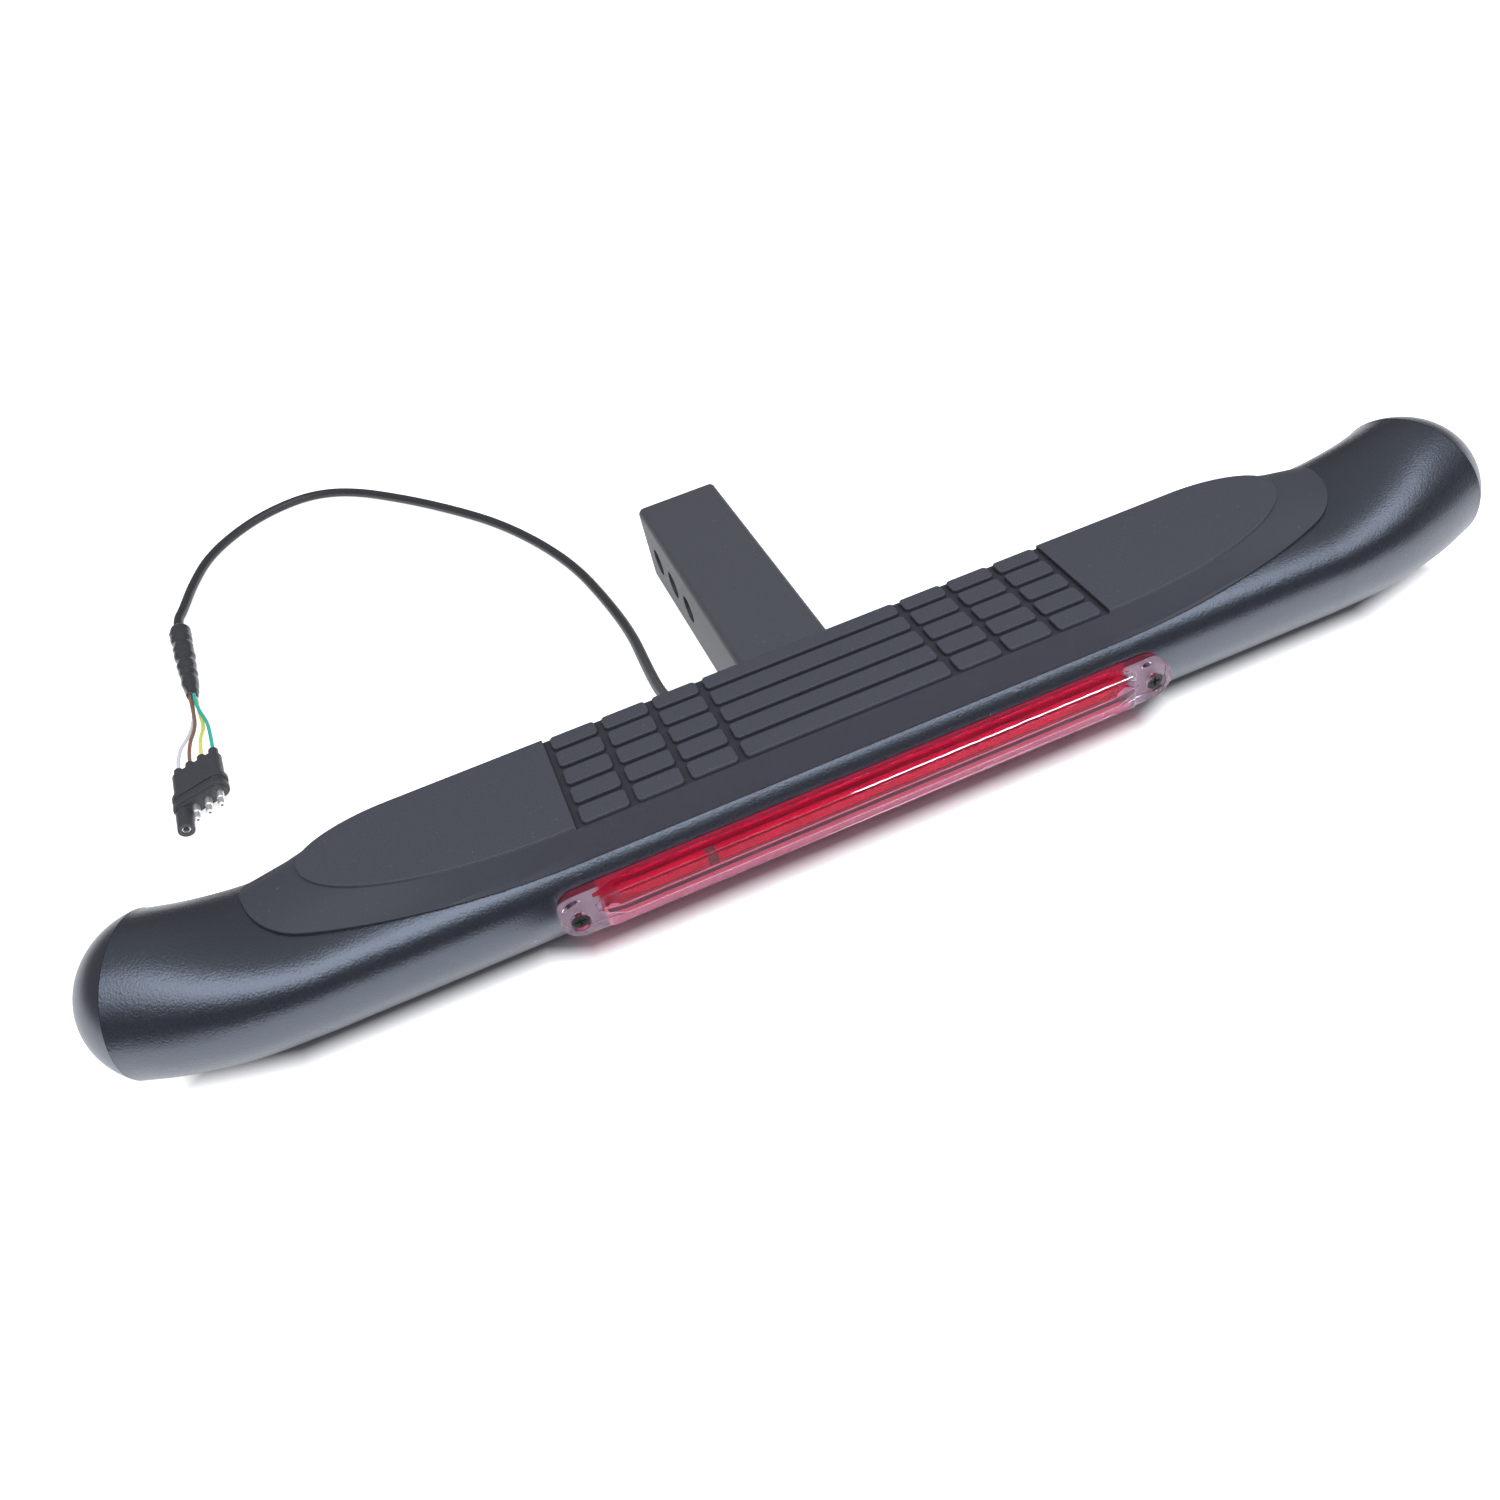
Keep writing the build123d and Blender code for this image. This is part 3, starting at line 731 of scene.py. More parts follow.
@dataclass
class WeldBead:
    """Fillet weld with the ripples of its passes, by Geometry Nodes.

    Attributes:
        path: Middle of the bead in millimetres.
        spacing: Distance from one ripple to the next in millimetres.
        ripple: Radius of a ripple in millimetres.
        flat: Thickness of a ripple along the bead, as a share of its width.
        spread: How much the ripples differ in size.
        seed: Start of the random sizes.
        rounds: How often a ripple's ball is divided finer.
    """

    path: tuple[Point, ...] = (
        (-27.0, -55.0, 3.5), (-27.0, -54.2, 14.0), (-27.0, -53.6, 26.0), (-27.0, -54.2, 38.0),
        (-26.6, -55.6, 47.0), (-22.0, -57.4, 51.6), (22.0, -57.4, 51.6), (26.6, -55.6, 47.0),
        (27.0, -54.2, 38.0), (27.0, -53.6, 26.0), (27.0, -54.2, 14.0), (27.0, -55.0, 3.5),
    )
    spacing: float = 1.9
    ripple: float = 2.5
    flat: float = 0.6
    spread: float = 0.16
    seed: int = 7
    rounds: int = 3

    def line(self) -> bpy.types.Object:
        """Open line along the bead.

        Returns:
            The line's object.
        """
        curve = bpy.data.curves.new("weld_line", "CURVE")
        curve.dimensions = "3D"
        spline = curve.splines.new("POLY")
        spline.points.add(len(self.path) - 1)
        for control, place in zip(spline.points, self.path):
            control.co = (*(Vector(place) * MM), 1.0)
        return piece("weld_line", curve)

    def tree(self) -> bpy.types.NodeTree:
        """Node tree that lays a flattened ripple at each step along a line.

        Returns:
            The tree.
        """
        group = bpy.data.node_groups.new("weld_ripples", "GeometryNodeTree")
        group.interface.new_socket("Line", in_out="INPUT", socket_type="NodeSocketGeometry")
        for name in ("Spacing", "Radius", "Flat", "Spread"):
            group.interface.new_socket(name, in_out="INPUT", socket_type="NodeSocketFloat")
        group.interface.new_socket("Seed", in_out="INPUT", socket_type="NodeSocketInt")
        group.interface.new_socket("Finish", in_out="INPUT", socket_type="NodeSocketMaterial")
        group.interface.new_socket("Bead", in_out="OUTPUT", socket_type="NodeSocketGeometry")
        nodes = Tree(group)
        given = nodes.add("NodeGroupInput")
        steps = nodes.add("GeometryNodeCurveToPoints", mode="LENGTH")
        nodes.link(given.outputs["Line"], steps.inputs["Curve"])
        nodes.link(given.outputs["Spacing"], steps.inputs["Length"])
        ball = nodes.add("GeometryNodeMeshIcoSphere")
        ball.inputs["Subdivisions"].default_value = self.rounds
        nodes.link(given.outputs["Radius"], ball.inputs["Radius"])
        smooth = nodes.add("GeometryNodeSetShadeSmooth")
        nodes.link(ball.outputs["Mesh"], smooth.inputs["Geometry"])
        size = nodes.add("FunctionNodeRandomValue", data_type="FLOAT")
        low = nodes.maths("SUBTRACT", 1.0, given.outputs["Spread"])
        high = nodes.maths("ADD", 1.0, given.outputs["Spread"])
        nodes.link(low, next(s for s in size.inputs if s.name == "Min" and s.type == "VALUE"))
        nodes.link(high, next(s for s in size.inputs if s.name == "Max" and s.type == "VALUE"))
        nodes.link(given.outputs["Seed"], size.inputs["Seed"])
        grown = next(s for s in size.outputs if s.type == "VALUE")
        shape = nodes.add("ShaderNodeCombineXYZ")
        for axis in ("X", "Y"):
            nodes.link(grown, shape.inputs[axis])
        nodes.link(nodes.maths("MULTIPLY", grown, given.outputs["Flat"]), shape.inputs["Z"])
        lay = nodes.add("GeometryNodeInstanceOnPoints")
        nodes.link(steps.outputs["Points"], lay.inputs["Points"])
        nodes.link(smooth.outputs["Geometry"], lay.inputs["Instance"])
        nodes.link(steps.outputs["Rotation"], lay.inputs["Rotation"])
        nodes.link(shape.outputs["Vector"], lay.inputs["Scale"])
        real = nodes.add("GeometryNodeRealizeInstances")
        nodes.link(lay.outputs["Instances"], real.inputs["Geometry"])
        coated = nodes.add("GeometryNodeSetMaterial")
        nodes.link(real.outputs["Geometry"], coated.inputs["Geometry"])
        nodes.link(given.outputs["Finish"], coated.inputs["Material"])
        nodes.link(coated.outputs["Geometry"], nodes.add("NodeGroupOutput").inputs["Bead"])
        return group

    def build(self) -> bpy.types.Object:
        """Builds the ripples on the plain bead and dresses them.

        Returns:
            The weld's object.
        """
        line = self.line()
        ripples = line.modifiers.new("ripples", "NODES")
        ripples.node_group = self.tree()
        values = {
            "Spacing": self.spacing * MM,
            "Radius": self.ripple * MM,
            "Flat": self.flat,
            "Spread": self.spread,
            "Seed": self.seed,
            "Finish": SHANK_COAT.material(),
        }
        for socket in ripples.node_group.interface.items_tree:
            if socket.in_out == "INPUT" and socket.name in values:
                ripples[socket.identifier] = values[socket.name]
        laid = evaluated_mesh(line, "weld_ripples")
        bpy.data.objects.remove(line)
        shape = merged_copy("shank_weld")
        shape.from_mesh(laid)
        return dress(finished("weld_bead", shape), SHANK_COAT, "shank_coat", "shank_weld")


@dataclass
class LightUnit:
    """Clear lens with softened edges over the red lamp unit.

    Attributes:
        edge: Width of the lens's rounded edges in metres.
        flat: Angle in degrees below which neighbouring faces are one face.
        seat: How deep the lens's back sits in the foam, in metres.
        squeeze: How far the foam's outline is squeezed out, in metres.
    """

    edge: float = 0.0006
    flat: float = 0.3
    seat: float = 0.00005
    squeeze: float = 0.0008

    def foam(self) -> bpy.types.Object:
        """Builds and dresses the foam, squeezed out nearly to the lens's edge.

        Returns:
            The foam's object.
        """
        low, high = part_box("light_gasket")
        height = (low.z + high.z) / 2
        rim = (high.z - low.z) / 2
        straight = high.x - rim
        shape = merged_copy("light_gasket")
        for corner in shape.verts:
            along = max(-straight, min(straight, corner.co.x))
            away = corner.co - Vector((along, corner.co.y, height))
            if away.length > rim - self.squeeze / 2:
                corner.co += away.normalized() * self.squeeze
        return dress(finished("squeezed_foam", shape), GASKET_FOAM, "gasket_foam", "light_gasket")

    def build(self) -> None:
        """Builds the foam and the lens, and coats what lies under the lens."""
        self.foam()
        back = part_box("light_lens")[1].y
        shape = merged_copy("light_lens")
        angle = radians(self.flat)
        bmesh.ops.dissolve_limit(shape, angle_limit=angle, verts=shape.verts, edges=shape.edges)
        for corner in shape.verts:
            if abs(corner.co.y - back) < self.seat:
                corner.co.y += self.seat
        dress(finished("clear_lens", shape, self.edge), LENS_PLASTIC, "lens_plastic", "light_lens")
        coat_node("light_base", BASE_PLASTIC)
        coat_node("led_board", BOARD_LAMINATE)
        coat_node("leds", LAMP_RESIN)
        coat_node("light_guide", GUIDE_PLASTIC)
        coat_node("light_screws", SCREW_STEEL)
        coat_node("light_lead", CORD_JACKET)
        coat_node("cord_grommet", GROMMET_RUBBER)


@dataclass
class StepBar:
    """Bent tube with its caps, the pad's clips, the shank and its weld.

    Attributes:
        coats: Finish of each solid that stays as it is.
        weld: The bead between the shank and the tube.
    """

    coats: dict[str, Finish] = field(
        default_factory=lambda: {
            "step_tube": TUBE_COAT,
            "receiver_shank": SHANK_COAT,
            "pad_clips": CLIP_PLASTIC,
        }
    )
    weld: WeldBead = field(default_factory=WeldBead)

    def build(self) -> None:
        """Coats the solids, smooths the caps' domes and builds the weld."""
        for node, finish in self.coats.items():
            coat_node(node, finish)
        for side in ("left", "right"):
            dome = finished(f"{side}_cap_dome", merged_copy(f"{side}_end_cap"))
            dress(dome, CAP_PLASTIC, "cap_plastic", f"{side}_end_cap")
        self.weld.build()


@dataclass
class Strand:
    """Cord or wire along a smooth line.

    Attributes:
        name: Name of the piece and of the node that it replaces.
        diameter: Thickness in millimetres.
        route: Control points in millimetres.
        finish: Its finish.
        slot: Slot of the record.
        steps: Steps of the line from one control point to the next.
        rounds: How finely the round section is divided.
    """

    name: str
    diameter: float
    route: list[Point]
    finish: Finish
    slot: str
    steps: int = 10
    rounds: int = 6

    def curve(self, name: str, bevel: float) -> bpy.types.Curve:
        """Smooth curve with the route as its control points.

        Args:
            name: Name of the curve.
            bevel: Radius of the round section in metres, 0 for a bare line.

        Returns:
            The curve.
        """
        curve = bpy.data.curves.new(name, "CURVE")
        curve.dimensions = "3D"
        curve.resolution_u = self.steps
        curve.bevel_depth = bevel
        curve.bevel_resolution = self.rounds
        curve.use_fill_caps = True
        spline = curve.splines.new("NURBS")
        spline.points.add(len(self.route) - 1)
        for control, place in zip(spline.points, self.route):
            control.co = (*(Vector(place) * MM), 1.0)
        spline.order_u = 3
        spline.use_endpoint_u = True
        return curve

    def length(self) -> float:
        """Length of the smooth line.

        Returns:
            Length in metres.
        """
        line = piece(self.name + "_line", self.curve(self.name + "_line", 0.0))
        bpy.context.view_layer.update()
        mesh = bpy.data.meshes.new_from_object(line.evaluated_get(bpy.context.evaluated_depsgraph_get()))
        places = [v.co.copy() for v in mesh.vertices]
        bpy.data.objects.remove(line)
        bpy.data.meshes.remove(mesh)
        return sum((b - a).length for a, b in zip(places, places[1:]))

    def build(self) -> bpy.types.Object:
        """Builds and dresses the strand."""
        built = piece(self.name + "_strand", self.curve(self.name, self.diameter / 2 * MM))
        return dress(built, self.finish, self.slot, self.name)


@dataclass
class TapedSplice:
    """Lumpy wrap of tape between the cord and the plug's wires, in millimetres.

    Attributes:
        start: Middle of the cord's end of the wrap.
        end: Middle of the wires' end.
        profile: Radius and distance of the wrap's lumps.
        tape_pitch: Distance from one turn of tape to the next.
        tape_step: Height of a turn's edge.
        tape_crease: Depth of the creases in a slack turn.
        slack_wave: How fast the slack changes from turn to turn, and where it starts, in radians.
        crease_wave: Creases round a turn, and how far they shift from turn to turn, in radians.
        widen: How much wider than high the wrap is where it starts.
        rings: Rings of the mesh along the wrap.
        sides: Points round a ring.
    """

    start: Point = (-333.9, 290.5, 6.2)
    end: Point = (-325.7, 198.3, 6.2)
    profile: tuple[tuple[float, float], ...] = (
        (4.1, 0.0), (6.1, 5.0), (6.1, 19.0), (5.4, 24.0), (6.0, 29.0), (6.1, 42.0),
        (5.1, 48.0), (5.9, 53.0), (5.7, 64.0), (4.9, 69.0), (5.3, 75.0), (4.0, 92.56),
    )
    tape_pitch: float = 7.5
    tape_step: float = 0.6
    tape_crease: float = 0.5
    slack_wave: tuple[float, float] = (4.7, 0.6)
    crease_wave: tuple[float, float] = (3.0, 2.3)
    widen: float = 0.22
    rings: int = 180
    sides: int = 48

    def radius(self, distance: float, angle: float) -> float:
        """Radius of the wrap with the stepped edge of its turns.

        Args:
            distance: Distance along the wrap.
            angle: Angle round it.

        Returns:
            Radius in millimetres.
        """
        for (r0, d0), (r1, d1) in zip(self.profile, self.profile[1:]):
            if distance <= d1:
                share = (distance - d0) / (d1 - d0)
                smooth = share * share * (3 - 2 * share)
                plain = r0 + (r1 - r0) * smooth
                break
        else:
            plain = self.profile[-1][0]
        turn = distance / self.tape_pitch - angle / (2 * pi)
        whole = floor(turn)
        edge = turn - whole
        change, start = self.slack_wave
        count, shift = self.crease_wave
        slack = 0.5 + 0.5 * sin(change * whole + start)
        crease = 0.5 + 0.5 * sin(count * angle + shift * whole)
        return plain - self.tape_step * edge * (0.5 + slack) - self.tape_crease * slack * crease

    def build(self) -> bpy.types.Object:
        """Builds and dresses the wrap.

        Returns:
            The wrap's object.
        """
        start = Vector(self.start)
        way = (Vector(self.end) - start).normalized()
        length = (Vector(self.end) - start).length
        side = way.cross(Vector((0, 0, 1))).normalized()
        up = side.cross(way)
        mesh = bmesh.new()
        rings = []
        for k in range(self.rings + 1):
            distance = length * k / self.rings
            ring = []
            for j in range(self.sides):
                angle = 2 * pi * j / self.sides
                wide = 1 + self.widen * (1 - distance / length)
                out = side * cos(angle) * wide + up * sin(angle)
                place = start + way * distance + out * self.radius(distance, angle)
                ring.append(mesh.verts.new(place * MM))
            rings.append(ring)
        for near, far in zip(rings, rings[1:]):
            for j in range(self.sides):
                n = (j + 1) % self.sides
                mesh.faces.new((near[j], near[n], far[n], far[j]))
        for ring, place in ((rings[0], start), (rings[-1], start + way * length)):
            pole = mesh.verts.new(place * MM)
            for j in range(self.sides):
                mesh.faces.new((ring[j], ring[(j + 1) % self.sides], pole))
        bmesh.ops.recalc_face_normals(mesh, faces=mesh.faces)
        data = bpy.data.meshes.new("tape_turns")
        mesh.to_mesh(data)
        mesh.free()
        data.shade_smooth()
        return dress(piece("tape_turns", data), SPLICE_TAPE, "splice_tape", "tape_wrap")


@dataclass
class TrailerLead:
    """Cord, splice, wires and flat plug, in millimetres.

    Attributes:
        cord_diameter: Thickness of the cord.
        wire_diameter: Thickness of a wire.
        cord_route: Control points of the cord, from the grommet to the splice.
        wire_routes: Control points of each wire, from the splice to the plug.
        plug_round: Width of the plug's rounded edges in metres.
        splice: The wrap between them.
    """

    cord_diameter: float = 6.4
    wire_diameter: float = 2.2
    cord_route: list[Point] = field(
        default_factory=lambda: [
            (-62.0, -50.1, 37.9),
            (-62.0, -30.1, 37.9),
            (-63.9, -4.3, 29.5),
            (-61.8, 37.6, 17.5),
            (-58.8, 87.9, 7.5),
            (-62.4, 140.4, 3.3),
            (-69.6, 187.2, 3.3),
            (-83.9, 234.0, 3.3),
            (-105.0, 281.9, 3.3),
            (-130.2, 322.7, 3.3),
            (-159.0, 363.5, 3.3),
            (-196.2, 408.4, 3.3),
            (-227.4, 427.4, 3.3),
            (-258.1, 425.6, 3.3),
            (-285.5, 412.5, 3.3),
            (-311.4, 385.9, 3.3),
            (-324.8, 350.4, 3.3),
            (-331.6, 316.2, 4.4),
            (-334.87, 301.46, 6.2),
            (-333.9, 290.5, 6.2),
        ]
    )
    wire_routes: dict[str, list[Point]] = field(
        default_factory=lambda: {
            "white_wire": [
                (-327.0, 198.19, 4.9), (-325.58, 182.25, 4.9), (-327.6, 159.3, 5.5),
                (-334.79, 136.06, 9.97), (-334.15, 120.11, 8.82),
            ],
            "brown_wire": [
                (-327.0, 198.19, 7.5), (-325.58, 182.25, 7.5), (-322.7, 158.3, 9.5),
                (-327.16, 136.25, 11.56), (-326.52, 120.30, 10.41),
            ],
            "yellow_wire": [
                (-324.41, 198.42, 4.9), (-322.99, 182.48, 4.9), (-318.9, 158.8, 6.5),
                (-319.53, 136.44, 13.14), (-318.88, 120.50, 11.99),
            ],
            "green_wire": [
                (-324.41, 198.42, 7.5), (-322.99, 182.48, 7.5), (-315.7, 159.3, 10.0),
                (-311.89, 136.64, 14.73), (-311.25, 120.69, 13.58),
            ],
        }
    )
    plug_round: float = 0.0004
    splice: TapedSplice = field(default_factory=TapedSplice)

    def build(self) -> None:
        """Builds the whole lead."""
        wrap = self.splice.build()
        block = finished("moulded_plug", merged_copy("plug_body"), self.plug_round)
        dress(block, PLUG_RUBBER, "plug_rubber", "plug_body")
        coat_node("plug_pins", CONTACT_METAL)
        coat_node("plug_socket", CONTACT_METAL)
        cord = Strand("cord", self.cord_diameter, self.cord_route, CORD_JACKET, "cord_jacket")
        cord.build()
        cord.length()
        finishes = {
            "white_wire": (WHITE_INSULATION, "white_insulation"),
            "brown_wire": (BROWN_INSULATION, "brown_insulation"),
            "yellow_wire": (YELLOW_INSULATION, "yellow_insulation"),
            "green_wire": (GREEN_INSULATION, "green_insulation"),
        }
        for name, route in self.wire_routes.items():
            finish, slot = finishes[name]
            wire = Strand(name, self.wire_diameter, route, finish, slot)
            wire.build()
            wire.length()


@dataclass
class Studio:
    """Pale floor, soft light and the camera.

    Attributes:
        floor_size: Width of the floor in metres.
        floor_colour: Colour of the floor.
        floor_rough: Roughness of the floor.
        floor_mirror: Level of the floor's mirror part.
        floor_lift: How much whiter the floor looks, close to the tube and away from it.
        lift_reach: Distances in metres from the tube's middle at which these two hold, and over which the
            painted shadow fades.
        light_room: Half of the light's length, and how much further its painted shadow reaches.
        light_fade: Distances in metres over which that reach and the painted red light on the floor fade.
        end_room: How far the painted shadow reaches past the start of the bends.
        spill_reach: Distances in metres over which the painted red light fades in front of the light.
        floor_shade: Colour of the painted shadow on the floor close to the tube.
        light_spill: Colour of the painted shadow on the floor under the light, tinted as if red light falls
            on it.
        lens_tint: Colour of the painted red light on the floor as the lens shows it.
        lens_glow: How bright the lens shows that painted light.
        tube_line: Place of the tube's middle, where its ends start to bend, and how much they turn back.
        sky_side: Brightness of the room at the horizon.
        sky_top: Brightness of the room overhead.
        sky_rise: Upward part of the direction where the room starts to brighten, and where it ends.
        sky_tint: Colour of the room.
        box_size: Width and depth of the soft box in metres.
        box_place: Middle of the soft box.
        box_power: Power of the soft box in watts.
        box_tint: Colour of the soft box.
        card_edge: Where the dark card on the floor in front starts, which only mirrors see, and where
            its tongue under the light does.
        card_flare: How much wider than the light the tongue is at its root and at its tip.
        card_reach: Depth of the card and half of its width in metres.
        card_height: Height of the card over the floor in metres.
        card_colour: Colour of the card.
        card_rough: Roughness of the card.
        strip_size: Width and depth of the strip lamp in metres.
        strip_place: Middle of the strip lamp, which only shines on the lens.
        strip_power: Power of the strip lamp in watts.
        eye: Place of the camera in millimetres.
        right: Direction to the right in the picture.
        down: Direction down the picture.
        ahead: Direction that the camera looks in.
        lens: Focal length of the camera in millimetres.
        sensor: Width of its sensor in millimetres.
        near: Nearest distance in metres that it sees.
    """

    floor_size: float = 60.0
    floor_colour: Colour = (0.9, 0.9, 0.9)
    floor_rough: float = 0.7
    floor_mirror: float = 0.2
    floor_lift: tuple[float, float] = (0.0, 0.75)
    lift_reach: tuple[float, float] = (0.021, 0.036)
    light_room: tuple[float, float] = (0.155, 0.0105)
    light_fade: tuple[float, float] = (0.01, 0.012)
    end_room: float = 0.02
    spill_reach: tuple[float, float] = (0.04, 0.05)
    floor_shade: Colour = (0.38, 0.37, 0.39)
    light_spill: Colour = (0.5, 0.3, 0.33)
    lens_tint: Colour = (0.95, 0.22, 0.34)
    lens_glow: float = 0.5
    tube_line: tuple[float, float, float] = (-0.0947, 0.283, 0.3)
    sky_side: float = 0.18
    sky_top: float = 0.5
    sky_rise: tuple[float, float] = (0.3, 0.9)
    sky_tint: Colour = (0.97, 0.985, 1.0)
    box_size: tuple[float, float] = (3.0, 1.25)
    box_place: Point = (0.1, -0.85, 1.5)
    box_power: float = 33.0
    box_tint: Colour = (0.9, 0.945, 1.0)
    card_edge: tuple[float, float] = (-0.23, -0.158)
    card_flare: tuple[float, float] = (0.03, 0.01)
    card_reach: float = 3.0
    card_height: float = 0.001
    card_colour: Colour = (0.12, 0.12, 0.13)
    card_rough: float = 0.9
    strip_size: tuple[float, float] = (0.55, 0.3)
    strip_place: Point = (0.59, -0.5, 1.55)
    strip_power: float = 100.0
    eye: Point = (-125.5, -523.9, 432.2)
    right: Point = (0.9173, -0.3493, -0.1913)
    down: Point = (-0.3717, -0.5784, -0.7262)
    ahead: Point = (0.143, 0.7372, -0.6603)
    lens: float = 29.62
    sensor: float = 36.0
    near: float = 0.01

    def floor(self) -> None:
        """Large pale floor."""
        half = self.floor_size / 2
        data = bpy.data.meshes.new("studio_floor")
        corners = [(-half, -half, 0), (half, -half, 0), (half, half, 0), (-half, half, 0)]
        data.from_pydata(corners, [], [(0, 1, 2, 3)])
        data.materials.append(self.floor_paint())
        piece("studio_floor", data)

    def floor_distances(self, tree: Tree) -> tuple[Socket, Socket]:
        """Where a spot on the floor lies beside the step.

        Args:
            tree: The floor paint's tree.

        Returns:
            Socket with the share of painted red light that falls there, and one with the distance from the
            tube.
        """
        middle, bend, turn = self.tube_line
        half, extra = self.light_room
        reach_fade, spill_fade = self.light_fade
        parts = tree.parts("Object")
        along = tree.size(parts.outputs["X"])
        beyond = tree.maths("SUBTRACT", along, bend)
        line = tree.maths("MULTIPLY", tree.maths("MAXIMUM", beyond, 0.0), turn)
        away = tree.maths("SUBTRACT", tree.maths("SUBTRACT", parts.outputs["Y"], middle), line)
        wider = tree.remap(along, half + reach_fade, half - reach_fade, 0.0, extra)
        near = tree.maths("SUBTRACT", tree.size(away), wider)
        past = tree.maths("MAXIMUM", near, tree.maths("SUBTRACT", beyond, self.end_room))
        return tree.remap(along, half, half - spill_fade), past

    def floor_paint(self) -> bpy.types.Material:
        """White paint that looks whiter to the camera, in mirrors and through glass, but keeps its shadows,
        with a painted shadow close to the tube, tinted under the light, and a painted red light that only
        glass shows.

        Returns:
            The paint's material.
        """
        paint = bpy.data.materials.new("studio_floor_paint")
        paint.use_nodes = True
        tree = Tree(paint.node_tree)
        beside, past = self.floor_distances(tree)
        # Painted shadow on the floor close to the tube, tinted red under the light.
        shaded = tree.blend(beside, self.floor_shade, self.light_spill)
        colour = tree.blend(tree.remap(past, *self.lift_reach), shaded, self.floor_colour)
        shader = tree.add("ShaderNodeBsdfPrincipled")
        tree.fill(shader, Base_Color=colour, Roughness=self.floor_rough)
        tree.fill(shader, Specular_IOR_Level=self.floor_mirror)
        path = tree.add("ShaderNodeLightPath")
        passed = path.outputs["Is Transmission Ray"]
        # Painted red light on the floor under the light, seen only through glass.
        under = tree.remap(past, *self.spill_reach, self.lens_glow, 0.0)
        spill = tree.maths("MULTIPLY", tree.maths("MULTIPLY", passed, beside), under)
        pink = tree.add("ShaderNodeEmission")
        tree.fill(pink, Color=rgba(self.lens_tint), Strength=spill)
        seen = tree.maths("ADD", path.outputs["Is Camera Ray"], path.outputs["Is Glossy Ray"])
        seen = tree.maths("MINIMUM", tree.maths("ADD", seen, passed), 1.0)
        lift = tree.remap(past, *self.lift_reach, *self.floor_lift)
        glow = tree.add("ShaderNodeEmission")
        tree.fill(glow, Strength=tree.maths("MULTIPLY", seen, lift))
        surface = shader.outputs[0]
        for light in (pink, glow):
            both = tree.add("ShaderNodeAddShader")
            tree.link(surface, both.inputs[0])
            tree.link(light.outputs[0], both.inputs[1])
            surface = both.outputs[0]
        tree.link(surface, tree.add("ShaderNodeOutputMaterial").inputs["Surface"])
        return paint

    def dark_card(self) -> None:
        """Dark card on the floor in front: the tube mirrors it as a dark band, and the lens is clear."""
        data = bpy.data.meshes.new("dark_card")
        edge, inner = self.card_edge
        root, tip = (self.light_room[0] + flare for flare in self.card_flare)
        reach = self.card_reach
        right = [(reach, edge - reach), (reach, edge), (root, edge), (tip, inner)]
        outline = [(-reach, edge - reach), *right, *((-x, y) for x, y in right[:0:-1])]
        corners = [(x, y, self.card_height) for x, y in outline]
        data.from_pydata(corners, [], [tuple(range(len(outline)))])
        dark = bpy.data.materials.new("dark_card_paint")
        dark.use_nodes = True
        shader = dark.node_tree.nodes["Principled BSDF"]
        shader.inputs["Base Color"].default_value = rgba(self.card_colour)
        shader.inputs["Roughness"].default_value = self.card_rough
        data.materials.append(dark)
        card = piece("dark_card", data)
        card.visible_camera = False
        card.visible_diffuse = False
        card.visible_transmission = False
        card.visible_shadow = False

    def room(self) -> None:
        """Soft light from the whole room, a little brighter overhead."""
        world = bpy.data.worlds.new("studio_room")
        bpy.context.scene.world = world
        world.use_nodes = True
        tree = Tree(world.node_tree)
        parts = tree.parts("Generated")
        level = tree.remap(parts.outputs["Z"], *self.sky_rise, self.sky_side, self.sky_top)
        background = tree.add("ShaderNodeBackground")
        tree.fill(background, Color=rgba(self.sky_tint), Strength=level)
        tree.link(background.outputs[0], tree.add("ShaderNodeOutputWorld").inputs["Surface"])

    def lamp(self, name: str, place: Point, size: tuple[float, float], power: float) -> bpy.types.Object:
        """Flat lamp that faces the step with its width along the tube.

        Args:
            name: Name of the lamp.
            place: Its middle.
            size: Its width and depth in metres.
            power: Its power in watts.

        Returns:
            The lamp's object.
        """
        light = bpy.data.lights.new(name, "AREA")
        light.shape = "RECTANGLE"
        light.size, light.size_y = size
        light.energy = power
        light.color = self.box_tint
        built = piece(name, light)
        back = Vector((0.0, place[1], place[2])).normalized()
        across = Vector((1.0, 0.0, 0.0))
        turn = Matrix((across, back.cross(across), back)).transposed()
        built.matrix_world = Matrix.Translation(place) @ turn.to_4x4()
        return built

    def lamps(self) -> None:
        """Wide soft box overhead, and a strip beside it that draws a thin bright line along the lens."""
        self.lamp("soft_box", self.box_place, self.box_size, self.box_power)
        strip = self.lamp("strip_lamp", self.strip_place, self.strip_size, self.strip_power)
        polished = bpy.data.collections.new("polished_pieces")
        polished.objects.link(bpy.data.objects["clear_lens"])
        strip.light_linking.receiver_collection = polished

    def camera(self) -> None:
        """Camera at the photograph's viewing angle."""
        lens = bpy.data.cameras.new("front_view")
        lens.lens = self.lens
        lens.sensor_width = self.sensor
        lens.clip_start = self.near
        viewer = piece("front_view", lens)
        turn = Matrix((Vector(self.right), -Vector(self.down), -Vector(self.ahead))).transposed()
        viewer.matrix_world = Matrix.Translation(Vector(self.eye) * MM) @ turn.to_4x4()
        bpy.context.scene.camera = viewer

    def build(self) -> None:
        """Sets up the floor, the light and the camera."""
        self.floor()
        self.room()
        self.dark_card()
        self.lamps()
        self.camera()
        bpy.context.scene.view_settings.view_transform = "Standard"


def clear_start() -> None:
    """Takes away what an empty file starts with."""
    for name in ("Cube", "Light", "Camera"):
        started = bpy.data.objects.get(name)
        if started is not None:
            bpy.data.objects.remove(started)


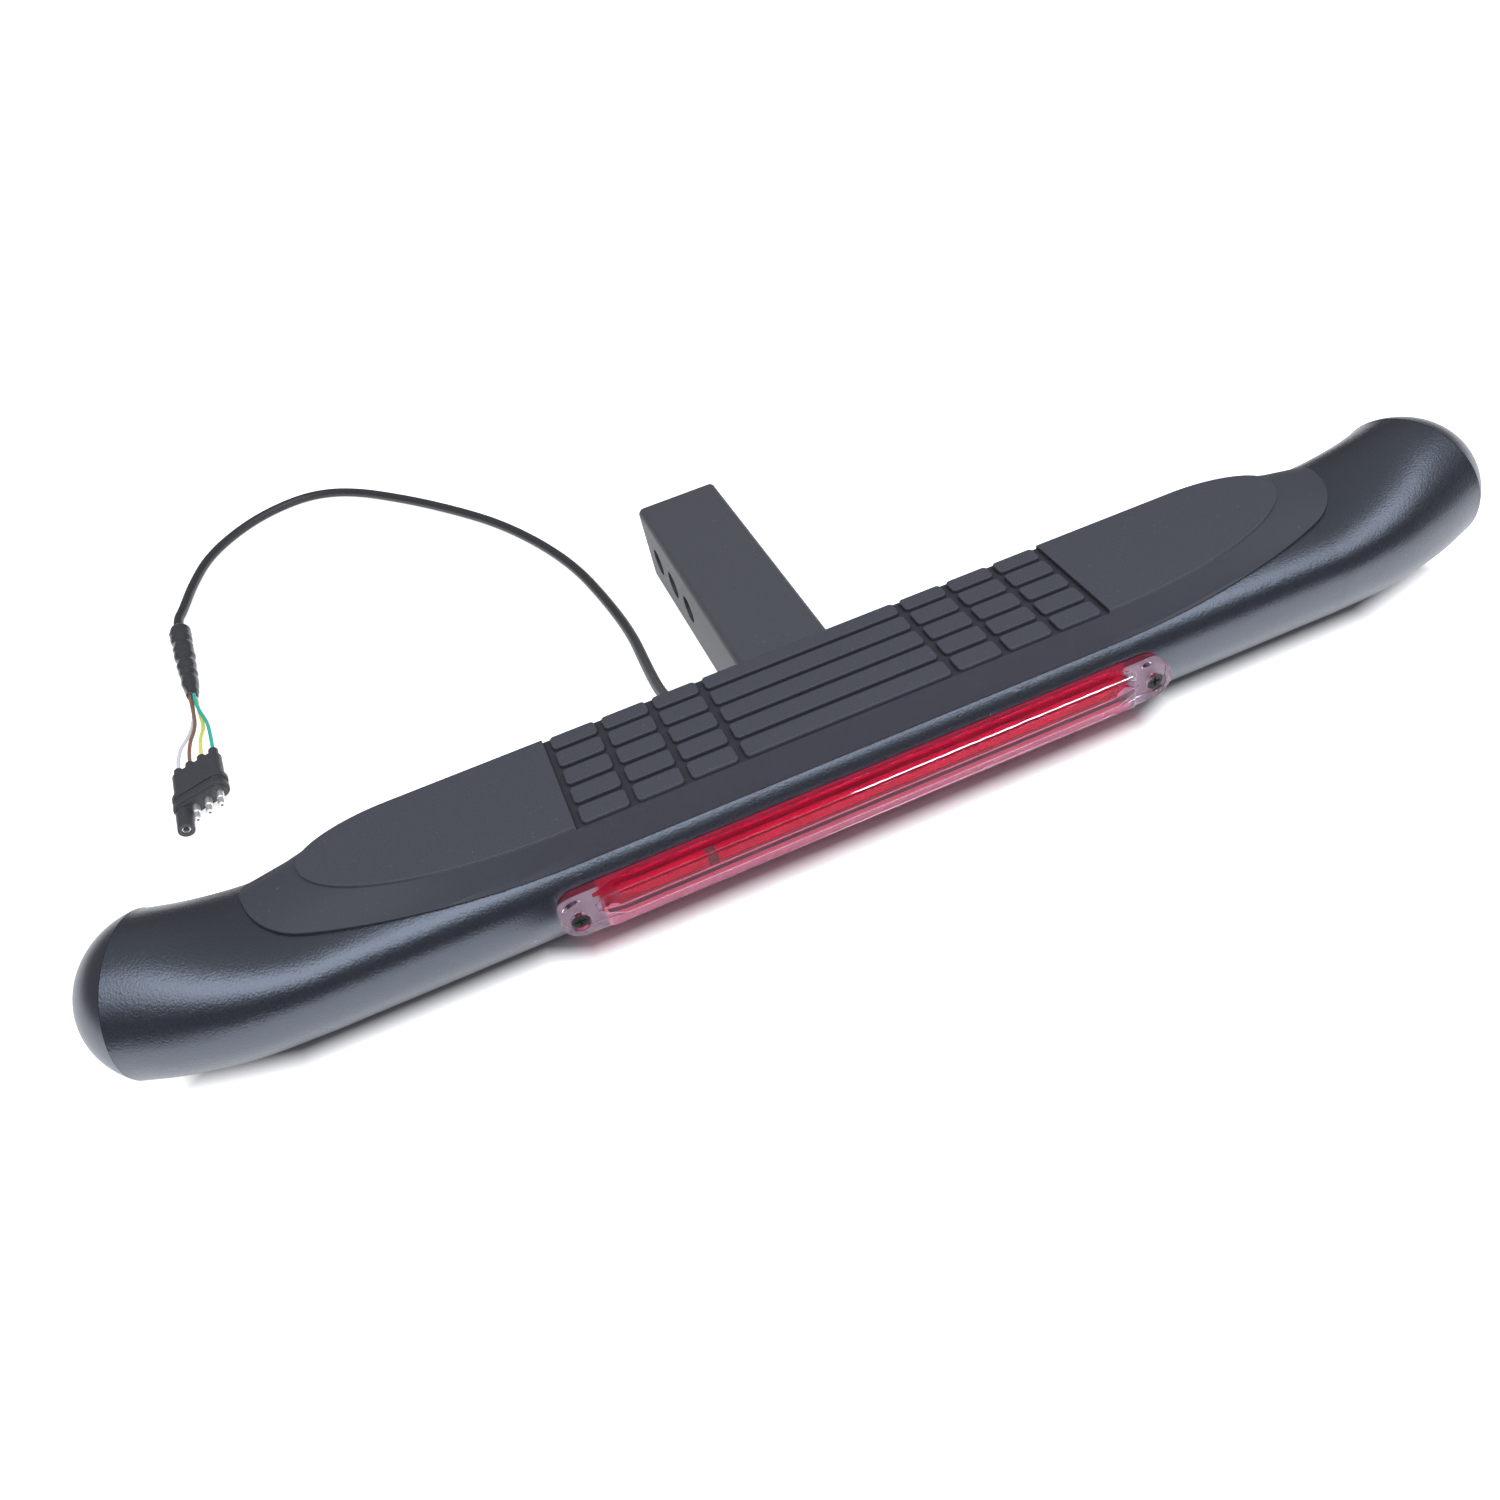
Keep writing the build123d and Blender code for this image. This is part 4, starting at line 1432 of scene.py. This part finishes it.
def main() -> None:
    """Builds every sub-assembly."""
    logging.basicConfig(level=logging.INFO, format="%(name)s: %(message)s")
    clear_start()
    build_grain()
    build_dust()
    TrailerLead().build()
    StepBar().build()
    TreadPad().build()
    LightUnit().build()
    Studio().build()


if __name__ == "__main__":
    main()
